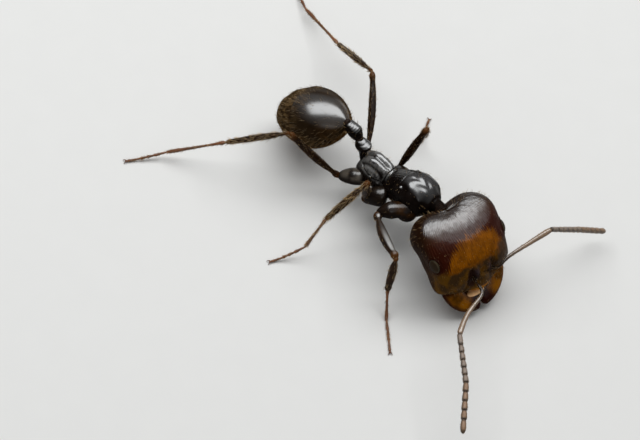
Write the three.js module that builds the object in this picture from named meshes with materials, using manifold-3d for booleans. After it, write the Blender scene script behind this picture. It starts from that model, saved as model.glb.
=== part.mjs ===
// A harvester ant, a major worker at life size, standing with its big head lowered.
// Millimetres, +Z up. The head points towards -Y and the ant's left side is +X.
// Lengths and heights are read in each part's own frame: forward, aside (to the left) and up.
// Real legs and feelers are thinner; here none is under half a millimetre, so that each is a sound solid.

import * as THREE from 'three';
import { LoftGeometry } from 'three/addons/geometries/LoftGeometry.js';
import { mergeVertices } from 'three/addons/utils/BufferGeometryUtils.js';
import Module from 'manifold-3d';

const wasm = await Module();
wasm.setup();

// ---------------------------------------------------------------- driving dimensions

const JOINT_GAP = 0.03; // hairline left between neighbouring pieces
const WELD = 1e-4; // vertices closer than this are one
const FOOT_LEVEL = 0.17; // height of a toe's centre line where it meets the floor
const BODY_SIDES = 18; // points round a ring of the trunk
const LIMB_SIDES = 8; // points round a leg or a feeler
const SMALL_SIDES = 12; // points round an eye or a mandible
const LIMB_END = 0.55; // a limb's end ring, as a share of its radius
const LIMB_INSET = 0.04; // how far in a limb reaches full radius, as a share of its length
const POLE = 0.47; // how near its poles a ball is closed, 0.5 being the pole
const SLAB = { span: 40, depth: 2 }; // the ground that trims the feet flat
const WAIST_ROWS = 7; // rows of faces along each knot of the waist
const MODEL_CENTRE = [-0.33, 0.56]; // middle of the standing ant, where the origin goes

const TRUNK = { height: 2.33, pitch: 5, roll: 0.5 };
const NECK = [1.95, 0, 0.22]; // where the head hangs on the trunk
const WAIST = [-1.76, 0, -0.34]; // where the petiole leaves the trunk

const HEAD = {
  halfLength: 1.62,
  halfWidth: 1.77,
  halfDepth: 1.18,
  notch: 0.28, // depth of the hollow in the rear edge
  notchSpread: 0.75,
  frontFill: 0.34, // how squarely the mouth end is filled out
  frontThinning: 0.22, // how much thinner it is
  neckSetback: 0.35, // how far the neck enters from the rear edge
  rise: 0.3, // head centre above the neck
  shift: -0.07, // and to the right of it
  pitch: -45,
  yaw: -10,
  roll: 1,
  rows: 12,
  sides: 22,
};

// Places on the head are shares of its half length, half width and half depth.
const EYE = { at: [0.04, 0.935, 0.42], halfLength: 0.29, halfHeight: 0.21, bulge: 0.16, lean: 18 };
const MANDIBLE = {
  at: [0.82, 0.62, -0.04],
  length: 1.5,
  halfWidth: 0.48,
  halfDepth: 0.3,
  narrowing: 0.4, // shares of its width and depth lost by its end
  thinning: 0.35,
  turn: 78, // degrees that it bends inward
  pitch: -5,
  rows: 7,
};

// A feeler's long first joint, then the string of small ones in two lengths.
const FEELER = {
  at: [0.66, 0.26, 0.74],
  scape: { length: 2.55, root: 0.25, end: 0.27 },
  funiculus_base: { length: 2.0, root: 0.25, end: 0.25 },
  funiculus_tip: { length: 1.95, root: 0.25, end: 0.27 },
};
const FEELER_LINKS = ['scape', 'funiculus_base', 'funiculus_tip'];
// Degrees outward from straight ahead, and above the head's own level, for each link.
const FEELER_POSE = {
  left: [[96, 18], [60, -23], [58, -26]],
  right: [[58, 24], [40, 33], [45, 22]],
};

// Outline of the trunk from rear to front: how far forward, half width, top and bottom.
const TRUNK_OUTLINE = [
  [-1.92, 0.26, -0.34, -0.76],
  [-1.78, 0.4, -0.08, -0.9],
  [-1.5, 0.5, 0.2, -0.98],
  [-1.0, 0.56, 0.34, -1.0],
  [-0.58, 0.52, 0.34, -1.02],
  [-0.15, 0.6, 0.58, -0.98],
  [0.3, 0.74, 0.82, -0.9],
  [0.75, 0.8, 0.88, -0.78],
  [1.15, 0.72, 0.74, -0.62],
  [1.42, 0.5, 0.54, -0.4],
  [1.62, 0.3, 0.42, -0.16],
  [1.92, 0.26, 0.42, -0.08],
];
const TRUNK_SQUARENESS = 0.9;
// Where each part of the trunk begins and ends, and how many rows of faces it has.
const TRUNK_PARTS = {
  propodeum: [-1.92, -0.6, 7],
  mesothorax: [-0.57, 0.12, 4],
  pronotum: [0.15, 1.92, 7],
};

// The two knots of the waist, read from their front ends backwards.
const PETIOLE = {
  yaw: 180,
  pitch: 68,
  length: 1.08,
  outline: [
    [0, 0.2, 0.2, -0.18],
    [0.3, 0.21, 0.22, -0.18],
    [0.56, 0.34, 0.44, -0.22],
    [0.74, 0.38, 0.52, -0.24],
    [0.92, 0.3, 0.38, -0.22],
    [1.08, 0.22, 0.2, -0.2],
  ],
};
const POSTPETIOLE = {
  pitch: -38,
  length: 0.75,
  outline: [
    [0, 0.22, 0.2, -0.2],
    [0.18, 0.38, 0.4, -0.32],
    [0.36, 0.43, 0.46, -0.36],
    [0.56, 0.38, 0.38, -0.32],
    [0.75, 0.26, 0.24, -0.24],
  ],
};

const GASTER = {
  length: 3.5,
  halfWidth: 1.22,
  halfHeight: 1.14,
  fullness: 0.62, // below 1 the egg is blunter than an ellipse
  pitch: -62, // bent down from the knots of the waist
  yaw: 4,
  drop: 0.1, // its axis lies this far under the waist's
  seams: [0.012, 0.56, 0.75, 0.89, 0.995], // where one plate ends and the next begins
  rows: [7, 3, 3, 4],
  gap: 0.009, // between plates, as a share of the length
  step: 0.03, // each plate is slimmer than the one before by this share
};

// Five lengths of each leg (coxa, femur, tibia, first tarsal joint, toes) and where its coxa sits.
const LEG_PARTS = ['coxa', 'femur', 'tibia', 'basitarsus', 'tarsus'];
const LEGS = {
  fore: {
    hip: [1.0, 0.46, -0.42],
    lengths: [1.35, 2.65, 2.05, 1.15, 1.35],
    coxa: 0.42, // radius at its thickest
    femur: 0.3,
    bow: 0.12, // how far the femur bends outward
  },
  mid: {
    hip: [-0.2, 0.46, -0.62],
    lengths: [1.0, 2.6, 2.15, 1.45, 1.3],
    coxa: 0.32,
    femur: 0.27,
    bow: 0,
  },
  hind: {
    hip: [-1.35, 0.42, -0.58],
    lengths: [1.05, 3.15, 2.75, 2.35, 1.45],
    coxa: 0.32,
    femur: 0.26,
    bow: -0.1,
  },
};
const SLIM_RADIUS = 0.25; // of the slimmest lengths
const TIBIA_RADIUS = 0.26;
const COXA_ROOT = 0.85; // shares of a coxa's radius, at its root and near its end
const COXA_WAIST = 0.9;

// Degrees outward from straight ahead, and degrees above level, for each length of each leg.
// The toes state no slope: it follows from the height that they start at.
const STANCE = {
  fore_right: [[134, -5], [38, 21], [11, -85], [42, -44], [44]],
  fore_left: [[168, -76], [30, 25], [-11, -47], [-60, -5], [-94]],
  mid_right: [[156, -40], [75, 68], [109, -49], [97, -61], [118]],
  mid_left: [[144, -35], [73, 72], [113, -62], [113, -64], [113]],
  hind_right: [[159, -31], [145, 43], [152, -40], [140, -29], [124]],
  hind_left: [[155, -36], [132, 27], [156, -32], [160, -18], [148]],
};

// ---------------------------------------------------------------- finishes

const finish = (color, roughness) => () => new THREE.MeshStandardMaterial({ color, roughness, metalness: 0 });
const blackShell = finish('#17120f', 0.22);
const brownShell = finish('#3a1f12', 0.28);
const headShell = finish('#4a2410', 0.25);
const amberShell = finish('#8a5420', 0.3);
const eyeLens = finish('#6b6a52', 0.35);
const feelerShell = finish('#5b4a3e', 0.5);
const footShell = finish('#6e4524', 0.45);

// ---------------------------------------------------------------- helpers

const radians = THREE.MathUtils.degToRad;
const soften = (value, power) => Math.sign(value) * Math.abs(value) ** power;

// A point given as forward, aside and up.
const spot = ([forward, aside, up]) => new THREE.Vector3(aside, -forward, up);

// Sets an object down at a point and turns it: yaw to the left, pitch nose up, roll left side up.
function place(object, at, { yaw = 0, pitch = 0, roll = 0 } = {}) {
  object.position.copy(spot(at));
  object.rotation.set(radians(-pitch), radians(-roll), radians(yaw), 'ZXY');
  return object;
}

// One ring of a shell across the forward axis. A power of 1 is an ellipse, below 1 is squarer.
function ring({ along, halfWidth, top, bottom, power = 1, sides = BODY_SIDES, shift = 0 }) {
  const middle = (top + bottom) / 2;
  const halfHeight = (top - bottom) / 2;
  return Array.from({ length: sides }, (_, i) => {
    const angle = (i / sides) * 2 * Math.PI;
    const x = halfWidth * soften(Math.cos(angle), power);
    const z = middle + halfHeight * soften(Math.sin(angle), power);
    return spot([along, x + shift, z]);
  });
}

const skin = (rings) => new LoftGeometry(rings, { capStart: true, capEnd: true });

// A shell through the rows of an outline (along, half width, top, bottom), between two of its stations.
function outlined(outline, from, to, rows, power = 1) {
  const stations = outline.map((row) => row[0]);
  const curve = new THREE.CubicInterpolant(stations, outline.flat(), 4);
  return skin(Array.from({ length: rows + 1 }, (_, i) => {
    const [along, halfWidth, top, bottom] = curve.evaluate(THREE.MathUtils.lerp(from, to, i / rows));
    return ring({ along, halfWidth, top, bottom, power });
  }));
}

// A closed ball-like shell about a centre, blunt or sharp by its powers.
function blunt({ halfLength, halfWidth, halfHeight, lengthPower = 1, widthPower = 1, heightPower = 1,
  ringPower = 1, rows = 10, sides = BODY_SIDES }) {
  const rings = [];
  for (let i = 0; i <= rows; i += 1) {
    const angle = THREE.MathUtils.lerp(-POLE, POLE, i / rows) * Math.PI;
    const height = halfHeight * Math.cos(angle) ** heightPower;
    rings.push(ring({
      along: halfLength * soften(Math.sin(angle), lengthPower),
      halfWidth: halfWidth * Math.cos(angle) ** widthPower,
      top: height,
      bottom: -height,
      power: ringPower,
      sides,
    }));
  }
  return skin(rings);
}

// A limb that runs forward from its joint, its radius given at even steps, bowed aside in the middle.
function limb(length, radii, bow = 0) {
  const last = radii.length - 1;
  const stations = radii.map((radius, i) => [LIMB_INSET + (1 - 2 * LIMB_INSET) * (i / last), radius]);
  const ends = [[0, radii[0] * LIMB_END], ...stations, [1, radii[last] * LIMB_END]];
  return skin(ends.map(([share, radius]) => ring({
    along: length * share,
    halfWidth: radius,
    top: radius,
    bottom: -radius,
    shift: bow * 4 * share * (1 - share),
    sides: LIMB_SIDES,
  })));
}

function piece(name, geometry, material) {
  const mesh = new THREE.Mesh(geometry, material());
  mesh.name = name;
  return mesh;
}

// Both sides of the ant: the word in a name, and the sign of its distance aside.
const SIDES = [['left', 1], ['right', -1]];

// ---------------------------------------------------------------- head

function headShape() {
  const geometry = blunt({
    halfLength: HEAD.halfLength,
    halfWidth: HEAD.halfWidth,
    halfHeight: HEAD.halfDepth,
    lengthPower: 0.75,
    widthPower: 0.55,
    heightPower: 0.7,
    ringPower: 0.85,
    rows: HEAD.rows,
    sides: HEAD.sides,
  });
  const position = geometry.getAttribute('position');
  for (let i = 0; i < position.count; i += 1) {
    const share = -position.getY(i) / HEAD.halfLength;
    const aside = position.getX(i);
    const rear = THREE.MathUtils.clamp(-share, 0, 1) ** 4;
    const front = THREE.MathUtils.clamp(share, 0, 1) ** 2;
    const fill = 1 + HEAD.frontFill * front ** 2;
    const hollow = HEAD.notch * rear * Math.exp(-((aside / HEAD.notchSpread) ** 2));
    position.setX(i, aside * fill);
    position.setY(i, position.getY(i) - hollow);
    position.setZ(i, position.getZ(i) * (1 - HEAD.frontThinning * front));
  }
  return geometry;
}

// A point on the head, given as shares of its half sizes, on one side of it.
const onHead = ([forward, aside, up], sign) =>
  [forward * HEAD.halfLength, sign * aside * HEAD.halfWidth, up * HEAD.halfDepth];

function eyes() {
  return SIDES.map(([side, sign]) => {
    const ball = blunt({ halfLength: EYE.halfLength, halfWidth: EYE.bulge, halfHeight: EYE.halfHeight,
      rows: 8, sides: SMALL_SIDES });
    return place(piece('eye_' + side, ball, eyeLens), onHead(EYE.at, sign), { roll: sign * EYE.lean });
  });
}

// A mandible bends inward along an arc, thick at its root and blunt at its end.
function mandibles() {
  const bend = MANDIBLE.length / radians(MANDIBLE.turn);
  return SIDES.map(([side, sign]) => {
    const rings = Array.from({ length: MANDIBLE.rows + 1 }, (_, i) => {
      const share = i / MANDIBLE.rows;
      const turn = radians(MANDIBLE.turn * share);
      const depth = MANDIBLE.halfDepth * (1 - MANDIBLE.thinning * share);
      return ring({
        along: bend * Math.sin(turn),
        halfWidth: MANDIBLE.halfWidth * (1 - MANDIBLE.narrowing * share ** 2),
        top: depth,
        bottom: -depth,
        shift: -sign * bend * (1 - Math.cos(turn)),
        sides: SMALL_SIDES,
      });
    });
    const jaw = piece('mandible_' + side, skin(rings), amberShell);
    return place(jaw, onHead(MANDIBLE.at, sign), { pitch: MANDIBLE.pitch });
  });
}

// A limb's mesh set at a joint and aimed outward and up; the joint then moves on to its far end.
function link(mesh, joint, length, yaw, pitch) {
  place(mesh, [0, 0, 0], { yaw, pitch });
  mesh.position.copy(joint);
  mesh.updateMatrix();
  joint.copy(spot([length, 0, 0]).applyMatrix4(mesh.matrix));
  return mesh;
}

function feelers() {
  return SIDES.flatMap(([side, sign]) => {
    const joint = spot(onHead(FEELER.at, sign));
    return FEELER_LINKS.map((name, i) => {
      const { length, root, end } = FEELER[name];
      const [yaw, pitch] = FEELER_POSE[side][i];
      const mesh = piece(name + '_' + side, limb(length, [root, root, end, end]), feelerShell);
      return link(mesh, joint, length, sign * yaw, pitch);
    });
  });
}

function head() {
  const group = new THREE.Group();
  const centre = new THREE.Group();
  place(group, NECK, HEAD);
  place(centre, [HEAD.halfLength - HEAD.neckSetback, HEAD.shift, HEAD.rise]);
  centre.add(...eyes(), piece('head', headShape(), headShell), ...mandibles(), ...feelers());
  return group.add(centre);
}

// ---------------------------------------------------------------- trunk, waist and gaster

function trunkParts() {
  return Object.entries(TRUNK_PARTS).map(([name, [from, to, rows]]) =>
    piece(name, outlined(TRUNK_OUTLINE, from, to, rows, TRUNK_SQUARENESS), blackShell));
}

// The gaster's plates are lengths of one egg, each a little slimmer than the one before.
function gasterPlates() {
  return GASTER.rows.map((count, plate) => {
    const [from, to] = [GASTER.seams[plate] + (plate ? GASTER.gap : 0), GASTER.seams[plate + 1]];
    const slip = 1 - plate * GASTER.step;
    const rings = Array.from({ length: count + 1 }, (_, i) => {
      const share = THREE.MathUtils.lerp(from, to, i / count);
      const swell = Math.sin(Math.PI * share) ** GASTER.fullness * slip;
      const height = GASTER.halfHeight * swell;
      return ring({
        along: share * GASTER.length,
        halfWidth: GASTER.halfWidth * swell,
        top: height - GASTER.drop,
        bottom: -height - GASTER.drop,
      });
    });
    return piece('gaster_' + (plate + 1), skin(rings), blackShell);
  });
}

const knot = (name, shape) => piece(name, outlined(shape.outline, 0, shape.length, WAIST_ROWS), blackShell);

// The waist and gaster run backwards from the trunk, so each is turned half round first.
function waist() {
  const petiole = place(new THREE.Group(), WAIST, PETIOLE);
  const postpetiole = place(new THREE.Group(), [PETIOLE.length, 0, 0], POSTPETIOLE);
  const gaster = place(new THREE.Group(), [POSTPETIOLE.length, 0, 0], GASTER);
  petiole.add(knot('petiole', PETIOLE), postpetiole);
  postpetiole.add(knot('postpetiole', POSTPETIOLE), gaster);
  gaster.add(...gasterPlates());
  return petiole;
}

// ---------------------------------------------------------------- legs

// Radii along one length of a leg, from its upper joint to its lower one.
function legRadii(part, { coxa, femur }) {
  if (part === 'coxa') return [coxa * COXA_ROOT, coxa, coxa * COXA_WAIST, SLIM_RADIUS];
  if (part === 'femur') return [SLIM_RADIUS, femur, femur, SLIM_RADIUS, SLIM_RADIUS];
  if (part === 'tibia') return [SLIM_RADIUS, SLIM_RADIUS, TIBIA_RADIUS, TIBIA_RADIUS];
  return [SLIM_RADIUS, SLIM_RADIUS, SLIM_RADIUS];
}

function legMaterial(part) {
  if (part === 'basitarsus' || part === 'tarsus') return footShell;
  return part === 'coxa' ? blackShell : brownShell;
}

// One leg: its five lengths end to end, the last one reaching down to the floor.
function leg(pair, side, sign, trunk) {
  const size = LEGS[pair];
  const [forward, aside, up] = size.hip;
  const joint = spot([forward, sign * aside, up]).applyMatrix4(trunk.matrixWorld);
  return LEG_PARTS.map((part, i) => {
    const length = size.lengths[i];
    const slopeToFloor = THREE.MathUtils.radToDeg(Math.asin((FOOT_LEVEL - joint.z) / length));
    const [outward, slope = slopeToFloor] = STANCE[pair + '_' + side][i];
    const shape = limb(length, legRadii(part, size), part === 'femur' ? sign * size.bow : 0);
    const mesh = piece([pair, part, side].join('_'), shape, legMaterial(part));
    return link(mesh, joint, length, sign * outward, slope);
  });
}

const legs = (trunk) => Object.keys(LEGS)
  .flatMap((pair) => SIDES.flatMap(([side, sign]) => leg(pair, side, sign, trunk)));

// ---------------------------------------------------------------- parting the pieces

// A mesh as a solid in the ant's frame, swollen by a distance along its normals.
function solidOf(mesh, swell = 0) {
  const source = new THREE.BufferGeometry().copy(mesh.geometry);
  source.deleteAttribute('normal');
  source.deleteAttribute('uv');
  const geometry = mergeVertices(source, WELD);
  geometry.computeVertexNormals();
  const position = geometry.getAttribute('position');
  const normal = geometry.getAttribute('normal');
  const point = new THREE.Vector3();
  const push = new THREE.Vector3();
  for (let i = 0; i < position.count; i += 1) {
    push.fromBufferAttribute(normal, i).multiplyScalar(swell);
    point.fromBufferAttribute(position, i).add(push).applyMatrix4(mesh.matrixWorld);
    position.setXYZ(i, point.x, point.y, point.z);
  }
  const vertProperties = Float32Array.from(position.array);
  const triVerts = Uint32Array.from(geometry.index.array);
  return new wasm.Manifold(new wasm.Mesh({ numProp: 3, vertProperties, triVerts }));
}

const largest = (solid) => solid.decompose().reduce((a, b) => (b.volume() > a.volume() ? b : a));

// Writes a solid back into its mesh, in the mesh's own frame.
function refill(mesh, solid) {
  const { vertProperties, triVerts } = solid.getMesh();
  const geometry = new THREE.BufferGeometry();
  geometry.setAttribute('position', new THREE.BufferAttribute(Float32Array.from(vertProperties), 3));
  geometry.setIndex(new THREE.BufferAttribute(Uint32Array.from(triVerts), 1));
  geometry.applyMatrix4(mesh.matrixWorld.clone().invert());
  geometry.computeVertexNormals();
  mesh.geometry = geometry;
}

// What lies under the floor, which is at height 0.
function belowFloor() {
  const slab = new THREE.Mesh(new THREE.BoxGeometry(SLAB.span, SLAB.span, SLAB.depth));
  slab.position.z = -SLAB.depth / 2;
  slab.updateMatrixWorld();
  return solidOf(slab);
}

// Each piece gives way to the ones before it, with a hairline between, and stands flat on the floor.
function partPieces(meshes) {
  const floor = belowFloor();
  const done = [];
  for (const mesh of meshes) {
    const box = new THREE.Box3().setFromObject(mesh);
    let solid = solidOf(mesh);
    for (const other of done.filter((item) => item.box.intersectsBox(box))) {
      solid = solid.subtract(other.swollen);
    }
    if (box.min.z < 0) solid = solid.subtract(floor);
    done.push({ box: box.clone().expandByScalar(JOINT_GAP), swollen: solidOf(mesh, JOINT_GAP) });
    refill(mesh, largest(solid));
  }
}

// ---------------------------------------------------------------- the whole ant

const ant = new THREE.Group();
const trunk = place(new THREE.Group(), [0, 0, TRUNK.height], TRUNK);
trunk.add(...trunkParts(), head(), waist());
trunk.updateMatrixWorld();
ant.add(trunk, ...legs(trunk));
ant.updateMatrixWorld();

const meshes = [];
ant.traverse((object) => {
  if (object.isMesh) meshes.push(object);
});
partPieces(meshes);
ant.position.set(-MODEL_CENTRE[0], -MODEL_CENTRE[1], 0);

export default ant;
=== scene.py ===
"""A harvester ant, a major worker at life size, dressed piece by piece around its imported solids."""

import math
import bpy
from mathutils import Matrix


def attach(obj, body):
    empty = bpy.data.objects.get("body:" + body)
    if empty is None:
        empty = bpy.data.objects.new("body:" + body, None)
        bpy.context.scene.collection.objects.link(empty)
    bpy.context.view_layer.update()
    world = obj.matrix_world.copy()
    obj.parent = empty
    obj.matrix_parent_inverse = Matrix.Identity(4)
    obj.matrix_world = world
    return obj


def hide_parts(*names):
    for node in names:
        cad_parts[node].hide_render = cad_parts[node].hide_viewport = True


bl_info = {
    "name": "Harvester Ant",
    "version": (1, 0, 0),
    "blender": (4, 5, 0),
    "location": "3D View > Sidebar > Ant",
    "description": "A still harvester ant: shells, eyes, jaws, feelers, legs and hairs, with its stage",
    "category": "Add Mesh",
}

import bpy
import numpy as np
from bpy.props import FloatProperty, FloatVectorProperty, PointerProperty
from bpy.types import Operator, Panel, PropertyGroup
from mathutils import Matrix, Vector

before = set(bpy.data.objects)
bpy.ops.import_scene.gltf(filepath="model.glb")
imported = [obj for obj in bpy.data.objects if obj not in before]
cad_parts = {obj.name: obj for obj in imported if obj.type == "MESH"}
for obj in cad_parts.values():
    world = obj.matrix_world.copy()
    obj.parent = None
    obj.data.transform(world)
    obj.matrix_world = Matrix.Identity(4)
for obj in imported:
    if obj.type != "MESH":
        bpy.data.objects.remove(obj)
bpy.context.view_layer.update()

MM = 0.001
TAU = 2 * math.pi
BODY = "root"
SIDES = (("left", 1), ("right", -1))
FORWARD, ASIDE, UP = 0, 1, 2

# ------------------------------------------------------------------ the ant's build
# Millimetres and degrees. Points are forward, aside (to the left) and up, as in the solids.

MODEL_CENTRE = (-0.33, 0.56)
TRUNK = {"height": 2.33, "pitch": 5, "roll": 0.5}
NECK = (1.95, 0, 0.22)
WAIST = (-1.76, 0, -0.34)
HEAD = {
    "half": (1.62, 1.77, 1.18),  # length, width and depth
    "powers": (0.75, 0.55, 0.7, 0.85),  # how squarish it is along, across, in depth and round
    "centre": (1.27, -0.07, 0.3),  # from the neck
    "turn": {"pitch": -45, "yaw": -10, "roll": 1},
    "notch": 0.28,
    "notch_spread": 0.75,
    "front_fill": 0.34,
    "front_thinning": 0.22,
    "shelf": 0.24,  # how far the front plate is drawn out
    "crown": (-0.6, 0.8),  # forward and up parts of the way the crown faces
    "crown_height": 1.09,
    "crown_flatness": 0.72,
    "crown_corner": 0.1,
    "jowl": 0.095,  # how much narrower the lower half is, below the eyes
    "lobes": 0.04,  # how much wider the rear corners are
    "ridges": 97,  # counted round it
}
EYE = {"at": (0.075, 1.6, 0.54), "half": (0.29, 0.15, 0.21), "lean": 18, "facet": 0.034}
SOCKET = (1.069, 0.46, 0.873)
LOBE = {"at": (0.98, 0.3, 0.9), "half": (0.27, 0.13, 0.1), "splay": 12, "dip": 12, "lean": -14}
MANDIBLE = {"at": (1.34, 1.0, -0.047), "length": 1.6, "turn": 84, "pitch": -5}
TRUNK_OUTLINE = [  # how far forward, half width, top and bottom
    [-1.92, 0.26, -0.34, -0.76],
    [-1.78, 0.4, -0.02, -0.9],
    [-1.55, 0.5, 0.24, -0.98],
    [-1.0, 0.54, 0.33, -1.0],
    [-0.58, 0.44, 0.25, -1.0],
    [-0.15, 0.55, 0.52, -0.96],
    [0.3, 0.7, 0.8, -0.9],
    [0.75, 0.8, 0.88, -0.78],
    [1.15, 0.72, 0.74, -0.62],
    [1.42, 0.5, 0.54, -0.4],
    [1.62, 0.3, 0.42, -0.16],
    [1.92, 0.26, 0.42, -0.08],
]
TRUNK_BEADS = ((0.24, 0.54, 0.47), (-0.75, 0.46, -0.29))  # knobs over two breathing holes
TRUNK_PARTS = {"propodeum": (-1.92, -0.56), "mesothorax": (-0.6, 0.17), "pronotum": (0.12, 1.92)}
PETIOLE = {
    "turn": {"yaw": 180, "pitch": 68},
    "outline": [
        [0, 0.16, 0.16, -0.15],
        [0.3, 0.13, 0.15, -0.14],
        [0.52, 0.15, 0.2, -0.15],
        [0.68, 0.24, 0.36, -0.19],
        [0.82, 0.285, 0.44, -0.21],
        [0.96, 0.22, 0.28, -0.19],
        [1.08, 0.15, 0.15, -0.15],
    ],
}
POSTPETIOLE = {
    "turn": {"pitch": -38},
    "outline": [
        [0, 0.15, 0.15, -0.15],
        [0.18, 0.23, 0.28, -0.21],
        [0.36, 0.28, 0.33, -0.24],
        [0.56, 0.245, 0.26, -0.22],
        [0.75, 0.19, 0.17, -0.18],
    ],
}
GASTER = {
    "turn": {"pitch": -62, "yaw": 4},
    "length": 3.5,
    "half": (1.2, 1.115),  # width and height
    "fullness": 0.62,
    "drop": 0.1,
    "seams": (0.012, 0.56, 0.75, 0.89, 0.995),
    "overlap": 0.035,  # how far a plate runs in under the one before, as a share of the length
    "rim": 0.012,
    "step": 0.03,  # how much slimmer each plate is
    "groove": 0.62,  # how far below the side the grooves run, as an angle
}
LEG_PAIRS = ("fore", "mid", "hind")
LEG_BOW = {"fore": 0.12, "mid": 0.0, "hind": -0.1}

# The camera looks at the ant from its right front, above, and is rolled to the left.
VIEW = {
    "towards": (-0.527, -0.211, 0.823),
    "right": (0.629, -0.747, 0.212),
    "distance": 170.0,
    "lens": 257.0625,
    "sensor": 36.0,
    "centre": (3.87, 0.1884375),  # how far right of and above the sensor's middle the build's centre lands
    "clip": (0.002, 20),
}


# ------------------------------------------------------------------ settings


def millimetres(name, description, default, high=1.0):
    """A length setting, given in millimetres and kept in metres."""
    return FloatProperty(name=name, description=description, default=default * MM, min=0, max=high * MM,
                         precision=6, subtype="DISTANCE", unit="LENGTH")


def colour(name, description, default):
    """A colour setting."""
    return FloatVectorProperty(name=name, description=description, default=default, size=3, min=0, max=1,
                               subtype="COLOR")


def amount(name, description, default):
    """A setting that is a share of the usual amount."""
    return FloatProperty(name=name, description=description, default=default, min=0, max=4,
                         subtype="FACTOR")


class AntSculpture(PropertyGroup):
    ridge_depth: millimetres("Ridge depth", "Depth of the fine lengthwise ridges on the head", 0.0045)
    trunk_ridges: millimetres("Trunk ridges", "Height of the cross ridges on the rear of the trunk", 0.008)
    hair_length: millimetres("Body hair length", "Length of the hairs on head, trunk and gaster", 0.16)
    down_length: millimetres("Down length", "Length of the short hairs on feelers and legs", 0.1)
    hair_width: millimetres("Hair width", "Thickness of a body hair at its root", 0.0085, high=0.1)
    hairiness: amount("Hairiness", "Share of the usual number of hairs", 1.0)


class AntColours(PropertyGroup):
    black: colour("Black shell", "Trunk, waist and gaster", (0.007, 0.0045, 0.0035))
    wine: colour("Wine shell", "Back of the head's face", (0.034, 0.0055, 0.002))
    tan: colour("Orange-brown shell", "Front of the head's face", (0.225, 0.068, 0.0008))
    amber: colour("Amber shell", "Jaws and front plate", (0.17, 0.058, 0.001))
    gena: colour("Cheek", "Sides and underside of the head", (0.03, 0.011, 0.004))
    brown: colour("Leg shell", "Upper legs", (0.02, 0.0085, 0.003))
    joint: colour("Joint", "Knees and leg joints", (0.12, 0.045, 0.012))
    foot: colour("Foot", "Tarsi and claws", (0.15, 0.052, 0.011))
    feeler: colour("Feeler", "String of small joints of each feeler", (0.19, 0.115, 0.07))
    # the eye colour is a painted highlight on the eyes' rims; darkened, it is also the net between the
    # facets
    eye: colour("Eye", "Rims of the eyes", (0.11, 0.085, 0.05))
    skin: colour("Soft skin", "Neck and joint skin", (0.02, 0.01, 0.006))
    hair: colour("Hair", "Body hairs and down", (0.5, 0.33, 0.15))
    floor: colour("Floor", "Plain pale floor", (0.8, 0.79, 0.77))


class AntStage(PropertyGroup):
    overhead: FloatProperty(name="Overhead lamp", description="Power of the big soft lamp overhead",
                            default=0.32, min=0, unit="POWER")
    side: FloatProperty(name="Side lamp", description="Power of the soft lamp at the side",
                        default=0.03, min=0, unit="POWER")
    sky: FloatProperty(name="Sky", description="Strength of the pale surround", default=0.18, min=0)


def sculpture():
    """The sizes that the sidebar's settings give."""
    return bpy.context.scene.ant_sculpture


def colours():
    """The colours that the sidebar's settings give."""
    return bpy.context.scene.ant_colours


# ------------------------------------------------------------------ places


class Place:
    """A spot and a turn in the row frame: points as forward, aside and up come out as x, y and z."""

    def __init__(self, spot=(0, 0, 0), axes=((1, 0, 0), (0, 1, 0), (0, 0, 1))):
        self.spot = np.array(spot, float)
        self.axes = np.array(axes, float)  # its aside, backward and up directions, one a row

    def out(self, points):
        """Points of this place in the row frame."""
        points = np.asarray(points, float)
        turned = np.stack([points[..., 1], -points[..., 0], points[..., 2]], axis=-1)
        return self.spot + turned @ self.axes

    def at(self, point, yaw=0.0, pitch=0.0, roll=0.0):
        """A place on this one, turned to the left by yaw, nose up by pitch and left side up by roll."""
        turns = ((yaw, "Z"), (-pitch, "X"), (-roll, "Y"))
        turn = Matrix.Identity(3)
        for degrees, axis in turns:
            turn = turn @ Matrix.Rotation(math.radians(degrees), 3, axis)
        return Place(self.out(point), np.array(turn).T @ self.axes)


def unit(vector):
    """A vector, or each row of an array of them, at length 1."""
    return vector / np.linalg.norm(vector, axis=-1, keepdims=True)


def aimed(start, end):
    """A place at start whose forward axis runs to end and whose aside axis is level."""
    ahead = unit(np.asarray(end, float) - start)
    aside = unit(np.cross((0, 0, 1), ahead))
    return Place(start, (aside, -ahead, np.cross(ahead, aside)))


GROUND = Place((-MODEL_CENTRE[0], -MODEL_CENTRE[1], 0))
TRUNK_PLACE = GROUND.at((0, 0, TRUNK["height"]), pitch=TRUNK["pitch"], roll=TRUNK["roll"])
HEAD_PLACE = TRUNK_PLACE.at(NECK, **HEAD["turn"]).at(HEAD["centre"])
PETIOLE_PLACE = TRUNK_PLACE.at(WAIST, **PETIOLE["turn"])
POSTPETIOLE_PLACE = PETIOLE_PLACE.at((PETIOLE["outline"][-1][0], 0, 0), **POSTPETIOLE["turn"])
GASTER_PLACE = POSTPETIOLE_PLACE.at((POSTPETIOLE["outline"][-1][0], 0, 0), **GASTER["turn"])


def corners_of(node):
    """The corners of a CAD node, in millimetres."""
    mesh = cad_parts[node].data
    points = np.empty(len(mesh.vertices) * 3, np.float32)
    mesh.vertices.foreach_get("co", points)
    return np.unique(points.reshape(-1, 3).round(7), axis=0).astype(float) / MM


def far_end(node, start, rim=0.02, rounds=4):
    """The middle of a rod's far end: the mean of the corners that lie farthest along it from start. Each
    round looks along the line to the end that the last one found."""
    corners = corners_of(node)
    end = corners.mean(axis=0)
    for _ in range(rounds):
        along = (corners - start) @ unit(end - start)
        end = corners[along > along.max() - rim].mean(axis=0)
    return end


# ------------------------------------------------------------------ surfaces


TINY = 1e-12  # keeps a length above nothing where a surface folds
POLE = 0.496  # how near an egg's end rings come to its poles, in half turns
HEAD_POLE = 0.4985
FINE = 20001  # steps in which a ring is measured
HEAD_FINE = 4001  # and the head's profile
LIP_RINGS = 6
GRAIN_FALL = 2.2  # how fast a grain's fine frequencies fall away


def soften(value, power):
    """The size of a value to a power, with its own sign: a power under 1 squares off a wave."""
    return np.sign(value) * np.abs(value) ** power


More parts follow.
